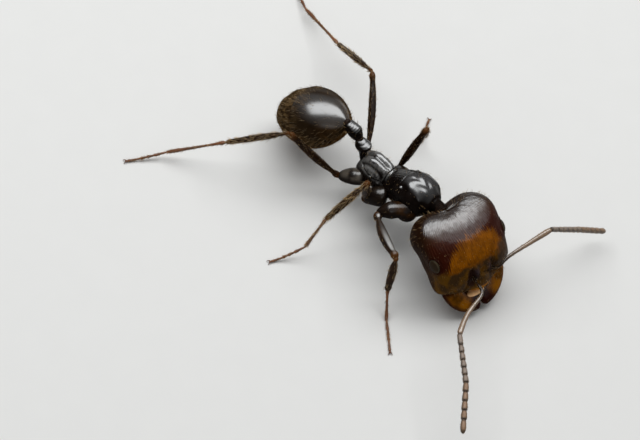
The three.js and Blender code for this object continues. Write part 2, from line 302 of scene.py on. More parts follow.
def run_length(across, over):
    """How far a flat path has run at each of its points."""
    return np.concatenate([[0], np.cumsum(np.hypot(np.diff(across), np.diff(over)))])


def hill(value, width):
    """A bell curve of height 1 about 0."""
    return np.exp(-((value / width) ** 2))


def step(value, low, high):
    """0 below low, 1 above high, and a smooth S between."""
    share = np.clip((value - low) / (high - low), 0, 1)
    return share * share * (3 - 2 * share)


def smooth_rows(table, where):
    """The columns of a table as smooth curves over its first column, in cubic pieces with mean slopes."""
    table = np.asarray(table, float)
    at, values = table[:, 0], table[:, 1:]
    slopes = np.gradient(values, at, axis=0)
    cell = np.clip(np.searchsorted(at, where, side="right") - 1, 0, len(at) - 2)
    width = (at[cell + 1] - at[cell])[:, None]
    t = (where - at[cell])[:, None] / width
    start, end = values[cell], values[cell + 1]
    leave, arrive = slopes[cell] * width, slopes[cell + 1] * width
    return (start * (2 * t**3 - 3 * t**2 + 1) + leave * (t**3 - 2 * t**2 + t)
            + end * (3 * t**2 - 2 * t**3) + arrive * (t**3 - t**2))


def rings(along, half_width, top, bottom, columns, power=1.0, angle=None):
    """A grid of rings across the forward axis: half width times cosine, and half height times sine."""
    if angle is None:
        angle = np.linspace(0, TAU, columns, endpoint=False)
    along, half_width, top, bottom = np.broadcast_arrays(along, half_width, top, bottom)
    aside = half_width[:, None] * soften(np.cos(angle), power)
    up = ((top + bottom) / 2)[:, None] + ((top - bottom) / 2)[:, None] * soften(np.sin(angle), power)
    return np.stack([np.broadcast_to(along[:, None], aside.shape), aside, up], axis=-1)


def even_angles(half_width, half_height, power, columns):
    """Angles that part a squarish ring into equal lengths."""
    fine = np.linspace(0, TAU, FINE)
    across, over = half_width * soften(np.cos(fine), power), half_height * soften(np.sin(fine), power)
    travelled = run_length(across, over)
    return np.interp(np.arange(columns) / columns * travelled[-1], travelled, fine)


def grain(shape, spread, seed):
    """A random field of mean square 1 that closes round its columns, smoothed over a number of cells:
    white noise times a bell curve over its frequencies."""
    noise = np.random.default_rng(seed).normal(size=shape)
    rows, columns = np.fft.fftfreq(shape[0])[:, None], np.fft.rfftfreq(shape[1])[None]
    reach = np.hypot(rows, columns) * spread
    field = np.fft.irfft2(np.fft.rfft2(noise) * np.exp(-((reach * GRAIN_FALL) ** 2)), shape)
    return field / field.std()


def lips(start, end, rows, lip):
    """Stations from start to end with a quarter-round lip at each, and how far in the lip draws them."""
    turn = np.linspace(0, math.pi / 2, LIP_RINGS + 1)[:-1]
    rise, inset = lip * (1 - np.cos(turn)), lip * (1 - np.sin(turn))
    middle = np.linspace(start + lip, end - lip, rows)
    stations = np.concatenate([start + rise, middle, end - rise[::-1]])
    return stations, np.concatenate([inset, np.zeros(rows), inset[::-1]])


def blunt(share, start, floor, power=2.0):
    """A factor that closes the end of a tube: 1 up to start, then the root of 1 less a power of what is
    left, and never under the root of floor."""
    return np.sqrt(np.clip(1 - np.clip((share - start) / (1 - start), 0, 1) ** power, floor, 1))


def outlined(outline, start, end, rows, columns, lip=0.05, power=1.0):
    """A shell through the rows of an outline, with rounded ends."""
    stations, inset = lips(start, end, rows, lip)
    half_width, top, bottom = smooth_rows(outline, stations).T
    return rings(stations, half_width - inset, top - inset, bottom + inset, columns, power)


def egg(half, rows=40, columns=48):
    """A closed ball-like grid: sine along, and cosines across."""
    angle = np.linspace(-POLE, POLE, rows) * math.pi
    length, width, height = half
    tall = height * np.cos(angle)
    return rings(length * np.sin(angle), width * np.cos(angle), tall, -tall, columns)


def outward(grid):
    """Unit normals of a grid that closes round its columns: the step round crossed with the step along."""
    around = np.roll(grid, -1, axis=1) - np.roll(grid, 1, axis=1)
    return unit(np.cross(around, np.gradient(grid, axis=0)) + TINY)


def pushed(grid, height):
    """The grid moved out along its normals by a height that varies over it."""
    return grid + outward(grid) * height[..., None]


def sweep(path, wide, tall, columns=16, level=(0, 0, 1)):
    """A tube along a path: at each point an ellipse across it, wide along level-crossed-with-path."""
    heading = unit(np.gradient(path, axis=0))
    aside = unit(np.cross(level, heading))
    up = np.cross(heading, aside)
    angle = np.linspace(0, TAU, columns, endpoint=False)
    wide, tall = (np.broadcast_to(size, len(path))[:, None, None] for size in (wide, tall))
    across = np.cos(angle)[None, :, None] * aside[:, None] * wide
    return path[:, None] + across + np.sin(angle)[None, :, None] * up[:, None] * tall


class Skin:
    """A closed surface on a grid, in its own place: rows run along it and columns round it.
    own holds what its finish reads as forward, aside and up. Hairs lie towards later rows."""

    def __init__(self, grid, place, own=None):
        self.points = place.out(grid)
        self.own = grid if own is None else own

    def flipped(self):
        """True where the rows run so that the faces point in: the signed volume of the cells is negative."""
        side = np.roll(self.points, -1, axis=1) - self.points
        ahead = np.diff(self.points, axis=0, append=self.points[-1:])
        middle = self.points.mean(axis=(0, 1))
        return np.sum(np.cross(side, ahead) * (self.points - middle)) < 0


def grid_faces(rows, columns, first):
    """Corner numbers of a closed grid's quads, and of the fans to a pole at each end."""
    number = np.arange(rows * columns).reshape(rows, columns) + first
    after = np.roll(number, -1, axis=1)
    quads = np.stack([number[:-1], after[:-1], after[1:], number[1:]], axis=-1).reshape(-1, 4)
    tail, nose = first + rows * columns, first + rows * columns + 1
    back = np.stack([after[0], number[0], np.full(columns, tail)], axis=-1)
    front = np.stack([number[-1], after[-1], np.full(columns, nose)], axis=-1)
    return quads, np.concatenate([back, front])


def grid_shares(rows, columns):
    """Each face corner's share of the way round and along, for the same faces as grid_faces."""
    around = np.arange(columns) / columns
    along = np.arange(rows) / (rows - 1)
    left, low = np.meshgrid(around, along[:-1])
    right, high = left + 1 / columns, low + 1 / (rows - 1)
    quads = np.stack([left, low, right, low, right, high, left, high], axis=-1)
    zero, one, next_one = np.zeros(columns), np.ones(columns), around + 1 / columns
    middle = around + 0.5 / columns
    back = np.stack([next_one, zero, around, zero, middle, zero], axis=-1)
    front = np.stack([around, one, next_one, one, middle, one], axis=-1)
    return quads.reshape(-1, 2), np.concatenate([back, front]).reshape(-1, 2)


def fill(mesh, corners, faces, uv_name, uvs):
    """Puts corners, faces (arrays of quads and of triangles) and a UV map into an empty mesh."""
    loops = np.concatenate([array.ravel() for array in faces])
    sizes = np.concatenate([np.full(len(array), array.shape[1]) for array in faces])
    mesh.vertices.add(len(corners))
    mesh.vertices.foreach_set("co", corners.ravel())
    mesh.loops.add(len(loops))
    mesh.loops.foreach_set("vertex_index", loops.astype(np.int32))
    mesh.polygons.add(len(sizes))
    mesh.polygons.foreach_set("loop_start", np.concatenate([[0], np.cumsum(sizes)[:-1]]).astype(np.int32))
    mesh.polygons.foreach_set("use_smooth", np.ones(len(sizes), bool))
    mesh.update(calc_edges=True)
    mesh.uv_layers.new(name=uv_name).uv.foreach_set("vector", uvs.ravel())
    mesh.validate()


def new_object(name, mesh, look):
    """A piece of the ant: an object at the origin that rides on the body."""
    made = bpy.data.objects.new(name, mesh)
    bpy.context.scene.collection.objects.link(made)
    mesh.materials.append(look)
    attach(made, BODY)
    return made


def dress(name, skins, look, slot, nodes=()):
    """One object made of closed skins, which stands for the CAD nodes given."""
    corners, quads, fans, quad_uvs, fan_uvs, own = [], [], [], [], [], []
    first = 0
    for skin in skins:
        rows, columns = skin.points.shape[:2]
        four, three = grid_faces(rows, columns, first)
        four_uv, three_uv = grid_shares(rows, columns)
        if skin.flipped():
            four, three = four[:, ::-1], three[:, ::-1]
            four_uv = four_uv.reshape(-1, 4, 2)[:, ::-1].reshape(-1, 2)
            three_uv = three_uv.reshape(-1, 3, 2)[:, ::-1].reshape(-1, 2)
        for kept, grid in ((corners, skin.points), (own, skin.own)):
            kept += [grid.reshape(-1, 3), grid[0].mean(axis=0)[None], grid[-1].mean(axis=0)[None]]
        quads.append(four)
        fans.append(three)
        quad_uvs.append(four_uv)
        fan_uvs.append(three_uv)
        first += rows * columns + 2
    mesh = bpy.data.meshes.new(name)
    faces = [np.concatenate(quads), np.concatenate(fans)]
    fill(mesh, np.concatenate(corners) * MM, faces, "Skin", np.concatenate(quad_uvs + fan_uvs))
    attribute = mesh.attributes.new("own", "FLOAT_VECTOR", "POINT")
    attribute.data.foreach_set("vector", np.concatenate(own).ravel())
    made = new_object(name, mesh, look)
    if nodes:
        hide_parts(*nodes)


# ------------------------------------------------------------------ hairs

HAIR_SIDES = 3
HAIR_CURL = 0.18  # how far a tip bends over, as a share of the hair's length
HAIR_SINK = 0.6  # how deep a root sits, in hair widths
LEAN_SPREAD = 9  # degrees
STRAY_SPREAD = 0.22  # how far hairs stray to either side of the lie
LENGTH_SPREAD = (0.65, 1.15)
WIDTH_SPREAD = (0.8, 1.2)
HAIR_RINGS = ((0.0, 1.0), (0.35, 0.85), (0.7, 0.55))  # share of the length, share of the width
BAKE_PATCH = 0.003
BAKE_MARGIN = 0.02
FLOOR_GAP = 0.004  # the lowest that a hair may reach


def plant(skin, count, length, lean, seed, width=None, where=None):
    """Hairs over a skin: roots drawn by area, each leaning from the normal towards the lie of the coat.
    A hair's middle line is its root, plus its heading times the way along, plus the lie times the way
    squared. where gives the share of hairs kept, from the skin's own points."""
    draw = np.random.default_rng(seed)
    grid = skin.points
    normal = np.cross((np.roll(grid, -1, axis=1) - grid)[:-1], np.diff(grid, axis=0))
    if skin.flipped():
        normal = -normal
    weight = np.linalg.norm(normal, axis=-1)
    if where is not None:
        weight = weight * np.clip(where(skin.own[:-1]), 0, 1)
    share = (weight / weight.sum()).ravel()
    row, column = np.unravel_index(draw.choice(share.size, size=count, p=share), weight.shape)
    beside = (column + 1) % grid.shape[1]
    u, v = draw.random((2, count))
    low = grid[row, column] + (grid[row, beside] - grid[row, column]) * u[:, None]
    high = grid[row + 1, column] + (grid[row + 1, beside] - grid[row + 1, column]) * u[:, None]
    root = low + (high - low) * v[:, None]
    out = unit(normal[row, column])
    side = unit(np.cross(out, unit(high - low)))
    lie = np.cross(side, out)
    tilt = np.radians(lean + draw.normal(0, LEAN_SPREAD, count))[:, None]
    stray = draw.normal(0, STRAY_SPREAD, count)[:, None]
    heading = unit(out * np.cos(tilt) + (lie + side * stray) * np.sin(tilt))
    reach = length * draw.uniform(*LENGTH_SPREAD, count)[:, None]
    thick = (width or sculpture().hair_width / MM) * draw.uniform(*WIDTH_SPREAD, count)[:, None]
    bend = unit(lie * 0.8 + side * stray) * HAIR_CURL * reach
    across = unit(np.cross(heading, side + out * 0.01))
    shares = np.array([at for at, _ in HAIR_RINGS] + [1.0])[:, None, None]
    middle = root + (heading * reach) * shares + bend * shares**2 - out * thick * HAIR_SINK
    points = []
    for ring, (_, slim) in enumerate(HAIR_RINGS):
        for turn in np.arange(HAIR_SIDES) / HAIR_SIDES * TAU:
            spoke = side * math.cos(turn) + across * math.sin(turn)
            points.append(middle[ring] + spoke * thick * slim / 2)
    points.append(middle[-1])
    points = np.stack(points, axis=1)
    points[..., 2] = np.maximum(points[..., 2], FLOOR_GAP)
    return points, np.stack([(column + u) / grid.shape[1], (row + v) / (grid.shape[0] - 1)], axis=-1)


def hair_faces():
    """Corner numbers of one hair: quads between its rings, a fan to its tip, and a cap over its root."""
    last = len(HAIR_RINGS) - 1
    after = [(i + 1) % HAIR_SIDES for i in range(HAIR_SIDES)]
    quads = [(ring * HAIR_SIDES + i, ring * HAIR_SIDES + after[i], (ring + 1) * HAIR_SIDES + after[i],
              (ring + 1) * HAIR_SIDES + i) for ring in range(last) for i in range(HAIR_SIDES)]
    tip = len(HAIR_RINGS) * HAIR_SIDES
    fan = [(last * HAIR_SIDES + i, last * HAIR_SIDES + after[i], tip) for i in range(HAIR_SIDES)]
    return np.array(quads), np.array(fan + [tuple(range(HAIR_SIDES))[::-1]])


def coat(name, plantings, look):
    """One object of all the hairs planted on some skins. In its bake map each skin has a tile, and each
    hair is a small patch at its root's place on the tile."""
    tiles = math.ceil(math.sqrt(len(plantings)))
    maps = []
    for number, (_, roots) in enumerate(plantings):
        tile = np.array(divmod(number, tiles))[::-1]
        maps.append((tile + BAKE_MARGIN + roots * (1 - 2 * BAKE_MARGIN)) / tiles)
    corners = np.concatenate([points for points, _ in plantings])
    total, size = corners.shape[:2]
    starts = (np.arange(total) * size)[:, None, None]
    faces = [(starts + faces_of_one).reshape(-1, faces_of_one.shape[1]) for faces_of_one in hair_faces()]
    order = np.arange(size)
    patch = np.stack([order % HAIR_SIDES / HAIR_SIDES, order // HAIR_SIDES / len(HAIR_RINGS)], axis=-1)
    uvs = np.concatenate(maps)[:, None] + (patch - 0.5) * BAKE_PATCH
    loops = np.concatenate([face.ravel() for face in faces])
    mesh = bpy.data.meshes.new(name)
    fill(mesh, corners.reshape(-1, 3) * MM, faces, "OFBake", uvs.reshape(-1, 2)[loops])
    new_object(name, mesh, look)


# ------------------------------------------------------------------ finishes


class Value:
    """A number that varies over a surface. Sums and products of it add Math nodes."""

    def __init__(self, finish, socket):
        self.finish = finish
        self.socket = socket

    def math(self, operation, *others):
        """What a Math node makes of this and any others."""
        inputs = dict(enumerate((self, *others)))
        return self.finish.node("ShaderNodeMath", {"operation": operation}, inputs)

    def after(self, operation, first):
        """The same with another number or value in front."""
        return self.finish.node("ShaderNodeMath", {"operation": operation}, {0: first, 1: self})

    def __add__(self, other):
        return self.math("ADD", other)

    def __sub__(self, other):
        return self.math("SUBTRACT", other)

    def __rsub__(self, other):
        return self.after("SUBTRACT", other)

    def __mul__(self, other):
        return self.math("MULTIPLY", other)

    def __truediv__(self, other):
        return self.math("DIVIDE", other)

    def __rtruediv__(self, other):
        return self.after("DIVIDE", other)

    def __pow__(self, other):
        return self.math("POWER", other)

    def __rpow__(self, other):
        return self.after("POWER", other)

    def __abs__(self):
        return self.math("ABSOLUTE")

    __radd__ = __add__
    __rmul__ = __mul__

    def wave(self):
        """The sine of it."""
        return self.math("SINE")

    def top(self, other):
        """The larger of the two."""
        return self.math("MAXIMUM", other)

    def least(self, other):
        """The smaller of the two."""
        return self.math("MINIMUM", other)

    def between(self, low, high):
        """0 at low, 1 at high, and a smooth S between; low may be the larger."""
        settings = {"interpolation_type": "SMOOTHSTEP"}
        return self.finish.node("ShaderNodeMapRange", settings, {0: self, 1: low, 2: high})

    def hill(self, width):
        """A rounded hill of height 1 where the number is 0, down to 0 at the width either side."""
        return abs(self).between(width, 0.0)

    def ripple(self, pitch, wobble):
        """Even ridges from 0 to 1, a pitch apart along the number and shifted by a wobble: half a sine
        plus a half."""
        return (self * (TAU / pitch) + wobble).wave() * 0.5 + 0.5


class Nodes:
    """A node tree that is being filled."""

    def __init__(self, tree):
        self.nodes = tree.nodes
        self.links = tree.links

    def node(self, kind, settings=None, inputs=None, output=0):
        """Adds a node: its settings first, then its inputs by name or number, each a number or a link."""
        made = self.nodes.new(kind)
        for setting, value in (settings or {}).items():
            setattr(made, setting, value)
        for key, value in (inputs or {}).items():
            self.feed(made.inputs[key], value)
        return Value(self, made.outputs[output])

    def feed(self, socket, value):
        """Links a value to a socket, or sets a number or a colour on it."""
        if isinstance(value, Value):
            self.links.new(value.socket, socket)
        elif socket.type == "RGBA" and len(value) == 3:
            socket.default_value = (*value, 1)
        else:
            socket.default_value = value


class Finish(Nodes):
    """A material being made around its Principled shader."""

    def __init__(self, name, **fixed):
        self.material = bpy.data.materials.new(name)
        self.material.use_nodes = True
        super().__init__(self.material.node_tree)
        self.shader = self.nodes["Principled BSDF"]
        for socket, value in fixed.items():
            self.shader.inputs[socket.replace("_", " ")].default_value = value

    def parts(self, vector):
        """The three numbers of a vector."""
        apart = self.node("ShaderNodeSeparateXYZ", None, {0: vector}).socket.node
        return [Value(self, socket) for socket in apart.outputs]

    def own(self):
        """The piece's own forward, aside and up, in millimetres, and the three as one vector."""
        vector = self.node("ShaderNodeAttribute", {"attribute_name": "own"}, output=1)
        return [*self.parts(vector), vector]

    def around(self):
        """Shares of the way round and along a skin."""
        return self.parts(self.node("ShaderNodeUVMap", {"uv_map": "Skin"}))[:2]

    def upward(self):
        """How far the surface faces up: 1 where it lies level."""
        return self.parts(self.node("ShaderNodeNewGeometry", output=1))[2]

    def place(self):
        """Object coordinates, in metres."""
        return self.node("ShaderNodeTexCoord", output=3)

    def noise(self, vector, scale, detail=2.0, stretch=None):
        """Soft noise about a half. A stretch above 1 makes it finer along that direction."""
        if stretch:
            vector = self.node("ShaderNodeVectorMath", {"operation": "MULTIPLY"}, {0: vector, 1: stretch})
        return self.node("ShaderNodeTexNoise", None, {"Vector": vector, "Scale": scale, "Detail": detail})

    def cells(self, vector, scale, feature="F1"):
        """How far it is to the nearest of a scatter of points, or to the edges between their cells."""
        return self.node("ShaderNodeTexVoronoi", {"feature": feature}, {"Vector": vector, "Scale": scale})

    def mix(self, share, first, second):
        """From the first colour at share 0 to the second at 1."""
        inputs = {0: share, 6: first, 7: second}
        return self.node("ShaderNodeMix", {"data_type": "RGBA"}, inputs, output=2)

    def clouds(self, vector, base, spread=0.5, scale=2.2):
        """A colour in soft clouds, from darker than the base to lighter."""
        cloud = self.noise(vector, scale, 3.0).between(0.3, 0.72)
        return self.mix(cloud, tinted(base, 1 - spread), tinted(base, 1 + spread))

    def uneven(self, vector, scale, spread, least):
        """A roughness from least to least plus spread, in fine clouds."""
        return self.noise(vector, scale) * spread + least

    def polish(self, wear=None, most=1.0, least=0.0):
        """A clear coat that lies thickest where the surface faces up, times a pattern of wear if any."""
        weight = self.upward().between(*POLISH_FACING) * (most - least) + least
        self.feed(self.shader.inputs["Coat Weight"], weight if wear is None else weight * wear)

    def shade(self, base, roughness=None):
        """Feeds the colour, and the roughness where it varies."""
        self.feed(self.shader.inputs["Base Color"], base)
        if roughness is not None:
            self.feed(self.shader.inputs["Roughness"], roughness)

    def bump(self, *layers):
        """Each layer is a height from 0 to 1 and how many millimetres that stands for."""
        normal = None
        for height, depth in layers:
            inputs = {"Height": height, "Distance": depth * MM}
            if normal is not None:
                inputs["Normal"] = normal
            normal = self.node("ShaderNodeBump", None, inputs)
        self.feed(self.shader.inputs["Normal"], normal)


def tinted(base, factor):
    """A colour made darker or lighter."""
    return tuple(min(1.0, part * factor) for part in base)


POLISH_FACING = (0.58, 0.93)  # how far a surface faces up where its polish starts and is whole
SHEENS = {  # index of refraction and roughness of each clear coat
    "shell": (2.1, 0.22),
    "head": (2.45, 0.25),
    "trunk": (2.5, 0.24),
    "waist": (2.6, 0.32),
    "gaster": (2.45, 0.24),
    "fore": (2.8, 0.36),
}
HEAD_RIDGES = 118  # painted ridges and lines, counted round the head
HEAD_LINES = 92
HEAD_TONES = {
    "nape": (0.045, 0.021, 0.01),
    "line": (0.1, 0.036, 0.02),
    "streak": (0.07, 0.016, 0.0005),
    "olive": (0.043, 0.021, 0.007),
    "ochre": (0.1, 0.043, 0.004),
    # painted reflection: a pale grey patch on the left temple only
    "temple_reflection": (0.05, 0.03, 0.018),
    # painted shade in the feelers' pits
    "pit": (0.03, 0.011, 0.006),
    # painted sheen on the lobes over the feelers' pits
    "lobe_sheen": (0.05, 0.034, 0.038),
}
LENS_TONES = ((0.03, 0.013, 0.003), (0.045, 0.022, 0.006))
LIP_TONE = (0.86, 0.5, 0.23)
# painted sheen: pale grey laid on the trunk's rear where it faces up
TRUNK_PAINTED_SHEEN = (0.13, 0.125, 0.118)
GASTER_TONES = {
    "back": (0.022, 0.0125, 0.006),
    "dusk": (0.02, 0.011, 0.004),
    "pale_gold": (0.135, 0.084, 0.038),
    "belly": (0.1, 0.042, 0.008),
}
# the last entry of each pair is how much pale painted highlight lies on top of its lengths
LEG_LOOKS = {
    "fore": {"polish": 1.0, "sheen": "fore", "painted_sheen": 0.75},
    "mid": {"polish": 0.6, "sheen": "shell", "painted_sheen": 0.0},
    "hind": {"polish": 0.5, "sheen": "shell", "painted_sheen": 0.0},
}
# the colour of the painted highlight on the fore legs
LEG_PAINTED_SHEEN = (0.42, 0.41, 0.39)
HIP_LOOKS = {  # the tone, laid where the surface faces up as a painted sheen (grey on the hind hips, partly their own brown on the fore ones), the polish before the middle, and the shares of the way where the tone ends
    "fore": {"sheen_tone": (0.046, 0.02, 0.0065), "polish": 0.25, "middle": (0.45, 0.62)},
    "mid": {"sheen_tone": (0.016, 0.01, 0.006), "polish": 1.0, "middle": (0.7, 1.0)},
    "hind": {"sheen_tone": (0.1, 0.084, 0.068), "polish": 1.0, "middle": (0.7, 1.0)},
}
# painted sheen on the feet where they face up
FOOT_PAINTED_SHEEN = (0.26, 0.085, 0.035)
# painted light on the feelers' joints where they face up; a quarter of it is the painted shade below
FEELER_PAINTED_LIGHT = {"base": (0.34, 0.26, 0.21), "tip": (0.36, 0.21, 0.12)}
# painted highlight on the scape where it faces up
SCAPE_PAINTED_HIGHLIGHT = (0.44, 0.31, 0.21)


def glossy(name, sheen="shell", specular=0.012):
    """A shell whose shine is nearly all in its clear coat."""
    index, roughness = SHEENS[sheen]
    return Finish(name, Specular_IOR_Level=specular, Coat_IOR=index, Coat_Roughness=roughness)


def head_ground(f, around, wander, ridges):
    """Wine-black with paler lines behind, streaked orange on the face and brown below. The orange starts
    at one forward place, less the fourth power of the way aside, and its border is ragged."""
    c = colours()
    forward, aside, up, own = f.own()
    back = f.mix(forward.between(-1.3, -0.5), HEAD_TONES["nape"], c.wine)
    lines = (around * (TAU * HEAD_LINES) + wander).wave().between(0.1, 0.9)
    back = f.mix(lines * f.noise(own, 3.0).between(0.35, 0.6) * 0.3, back, HEAD_TONES["line"])
    cheek = f.mix(forward.between(-1.0, 0.9), tinted(c.gena, 0.6), c.gena)
    face = f.mix(f.noise(own, 2.6, 3.0).between(0.35, 0.7), tinted(c.tan, 0.75), tinted(c.tan, 1.2))
    streak = f.noise(own, 5.0, stretch=(0.5, 4.0, 4.0)).between(0.45, 0.7)
    face = f.mix(streak * 0.5, face, HEAD_TONES["streak"])
    border = forward + 0.4 - ((aside + 0.03) ** 2.0) ** 2.0 * 0.31 + (f.noise(own, 1.6, 3.0) - 0.5) * 0.3
    frayed = f.noise(own, 5.0, 3.0, stretch=(0.4, 2.0, 2.0)) - 0.5
    ragged = border + frayed * 0.75 + ridges * 0.16 - 0.08
    return f.mix(up.between(0.35, 0.75), cheek, f.mix(ragged.between(-0.14, 0.17), back, face))


def head_marks(f, base):
    """Olive clouds in front of the orange, a pale grey painted reflection on the left temple, a pale amber
    painted highlight on the front plate's margin, painted shade in the feelers' pits (deeper on the right)
    with a brown middle between them, grey painted sheen on the lobes over them, and dark rims round the
    eyes."""
    c = colours()
    forward, aside, up, own = f.own()
    width = abs(aside)
    mottle = f.noise(own, 2.9, 3.0, stretch=(0.8, 1.3, 1.0)).between(0.4, 0.62)
    ahead = forward + (f.noise(own, 1.6, 3.0) - 0.5) * 0.4 - aside * 0.1
    ahead = ahead + (f.noise(own, 4.5, 3.0) - 0.5) * 0.5
    front = f.mix(mottle, HEAD_TONES["olive"], HEAD_TONES["ochre"])
    base = f.mix(ahead.between(0.5, 0.76) * up.between(-0.3, 0.2), base, front)
    # painted reflection on the left temple
    temple_reflection = aside.between(0.74, 0.98) * forward.between(0.25, 0.5) * up.between(0.1, 0.4)
    base = f.mix(temple_reflection * 0.85, base, HEAD_TONES["temple_reflection"])
    # painted highlight: a pale amber band along the front plate's margin
    margin_highlight = forward.between(1.62, 1.72) * width.between(0.85, 0.6) * up.between(-0.1, 0.2)
    base = f.mix(margin_highlight * 0.85, base, tinted(c.amber, 2.2))
    # painted shade in the feelers' pits, deeper on the right side
    pit = (((forward - 1.12) / 0.42) ** 2.0 + ((width - 0.48) / 0.26) ** 2.0).between(1.2, 0.45)
    pit = pit * up.between(0.1, 0.4) * (aside.between(0.3, -0.3) * 0.6 + 0.4)
    base = f.mix(pit, base, HEAD_TONES["pit"])
    middle = aside.hill(0.18) * (forward - 0.98).hill(0.2) * up.between(0.35, 0.75)
    base = f.mix(middle * 0.8, base, tinted(c.amber, 0.5))
    # painted sheen: grey-violet on the lobes over the pits
    lobe_sheen = (width - LOBE["at"][1]).hill(0.16) * (forward - LOBE["at"][0]).hill(0.3) * up.between(0.8, 0.9)
    base = f.mix(lobe_sheen * 0.9, base, HEAD_TONES["lobe_sheen"])
    rim = ((forward - EYE["at"][0]) / 0.42) ** 2.0 + ((up - EYE["at"][2]) / 0.34) ** 2.0
    rim = rim.between(1.1, 0.55) * width.between(1.3, 1.5)
    return f.mix(rim * 0.8, base, tinted(c.wine, 0.6))


def head_finish():
    """The head's ground and marks under a polish that fine ridges break up, and that fades towards the
    front and down the sides."""
    f = glossy("head_shell", "head")
    forward, aside, _, own = f.own()
    around = f.around()[0]
    wander = f.noise(own, 1.7) * 14.0
    ridges = around.ripple(1 / HEAD_RIDGES, wander)
    f.shade(head_marks(f, head_ground(f, around, wander, ridges)), f.uneven(own, 9.0, 0.14, 0.24))
    broken = f.noise(own, 8.0, 1.0, stretch=(0.4, 1.4, 1.4)).between(0.36, 0.58)
    sides = aside.least(0.0) * -0.25 + (aside - 0.3).top(0.0) * 0.3
    worn = (forward + sides + (f.noise(own, 5.0, 3.0) - 0.5) * 0.35).between(-0.6, -1.1) * 0.85 + 0.15
    f.polish((ridges * 0.34 + broken * 0.14 + 0.52) * worn)
    pores = f.cells(own, 7.0).between(0.0, 0.16)
    f.bump((ridges, 0.009), (f.noise(own, 26.0), 0.006), (pores, 0.01))
    return f.material


def trunk_finish():
    """Glossy black-brown, browner below, with a pale grey painted sheen on the rear where it faces up. Its
    cross ridges fade to faint rings on the front dome, and its polish ends at the neck."""
    c = colours()
    f = glossy("trunk_shell", "trunk")
    forward, aside, up, own = f.own()
    base = f.mix(up.between(0.1, -0.7) * 0.55, f.clouds(own, c.black, 0.45), tinted(c.brown, 0.7))
    # painted sheen on the rear, strongest where the surface faces up
    painted_sheen = forward.between(-0.35, -0.7) * up.between(-0.6, 0.0) * f.noise(own, 3.4).between(0.35, 0.55)
    base = f.mix(painted_sheen * f.upward().between(-0.1, 0.6), base, TRUNK_PAINTED_SHEEN)
    f.shade(base, f.uneven(own, 7.0, 0.2, 0.18))
    f.polish(forward.between(1.55, 1.3))
    wobble = f.noise(own, 1.9) * 7.0
    rear = forward.between(0.5, -0.2)
    dome = ((aside**2.0 + (forward - 1.5) ** 2.0) ** 0.5).ripple(0.06, wobble)
    across = forward.ripple(0.085, wobble)
    f.bump((across * rear, 0.02), (dome * (1 - rear), 0.004), (f.noise(own, 22.0), 0.006))
    return f.material


def waist_finish():
    """Glossy black-brown with fine cross wrinkles."""
    f = glossy("waist_shell", "waist")
    forward, _, _, own = f.own()
    f.shade(f.clouds(own, colours().black, 0.45, 4.0), f.uneven(own, 9.0, 0.2, 0.17))
    f.polish()
    f.bump((forward.ripple(0.07, f.noise(own, 3.0) * 8.0), 0.008), (f.noise(own, 24.0), 0.007))
    return f.material


def gaster_finish():
    """Smooth black-brown, with pale gold-brown streaked clouds behind and below and warm brown on the belly,
    with a fine net and a thin pale rim behind each plate. The polish fades on the left flank and towards the
    tip."""
    f = glossy("gaster_shell", "gaster", 0.0)
    forward, aside, up, own = f.own()
    along = f.around()[1]
    cloud = f.noise(own, 1.1, 3.0)
    base = f.clouds(own, GASTER_TONES["back"], 0.4, 1.6)
    # pale gold-brown streaked clouds behind and below
    pale_patches = (forward + cloud * 1.6 - 0.8).between(1.1, 2.5).top(up.between(0.1, -0.5))
    pale_patches = pale_patches * f.noise(own, 2.2, 3.0).between(0.28, 0.55)
    streak = f.noise(own, 6.0, stretch=(0.5, 2.2, 2.2)).between(0.4, 0.6)
    base = f.mix(pale_patches * 0.8, base, f.mix(streak, GASTER_TONES["dusk"], GASTER_TONES["pale_gold"]))
    belly = up.between(0.35, -0.6) * cloud.between(0.4, 0.62)
    base = f.mix(belly * 0.8, base, GASTER_TONES["belly"])
    base = f.mix(along.between(0.945, 0.985) * 0.65, base, tinted(colours().joint, 0.6))
    f.shade(base, f.uneven(own, 12.0, 0.14, 0.2))
    f.polish((forward * 0.45 - aside * 0.9).between(0.9, 0.62) * 0.85 + 0.15)
    net = f.cells(own, 16.0, "DISTANCE_TO_EDGE").between(0.0, 0.12)
    pores = f.cells(own, 5.0).between(0.0, 0.12)
    f.bump((net, 0.0035), (f.noise(own, 4.0), 0.012), (pores, 0.01))
    return f.material


def leg_finish(pair):
    """Dark glossy brown, redder, paler and duller at both ends of each length, with fine lengthwise
    scratches. The fore legs have a pale painted highlight on top, where they face up."""
    c = colours()
    look = LEG_LOOKS[pair]
    f = glossy("leg_shell_" + pair, look["sheen"])
    along = f.around()[1]
    own = f.own()[3]
    ends = (abs(along - 0.5) * 2.0).between(0.74, 1.0)
    # painted highlight: a pale streak where the leg faces up
    painted_sheen = f.upward().between(0.74, 0.92) * along.between(0.35, 0.75) * (1 - ends) * look["painted_sheen"]
    base = f.mix(ends * 0.75, f.mix(painted_sheen, f.clouds(own, c.brown, 0.4, 2.6), LEG_PAINTED_SHEEN), c.joint)
    f.shade(base, f.uneven(own, 10.0, 0.2, 0.2))
    f.polish(1 - ends * 0.94, look["polish"], 0.02)
    scratch = f.noise(own, 9.0, stretch=(0.35, 2.0, 2.0))
    f.bump((scratch, 0.02), (f.cells(own, 9.0).between(0.0, 0.2), 0.008))
    return f.material


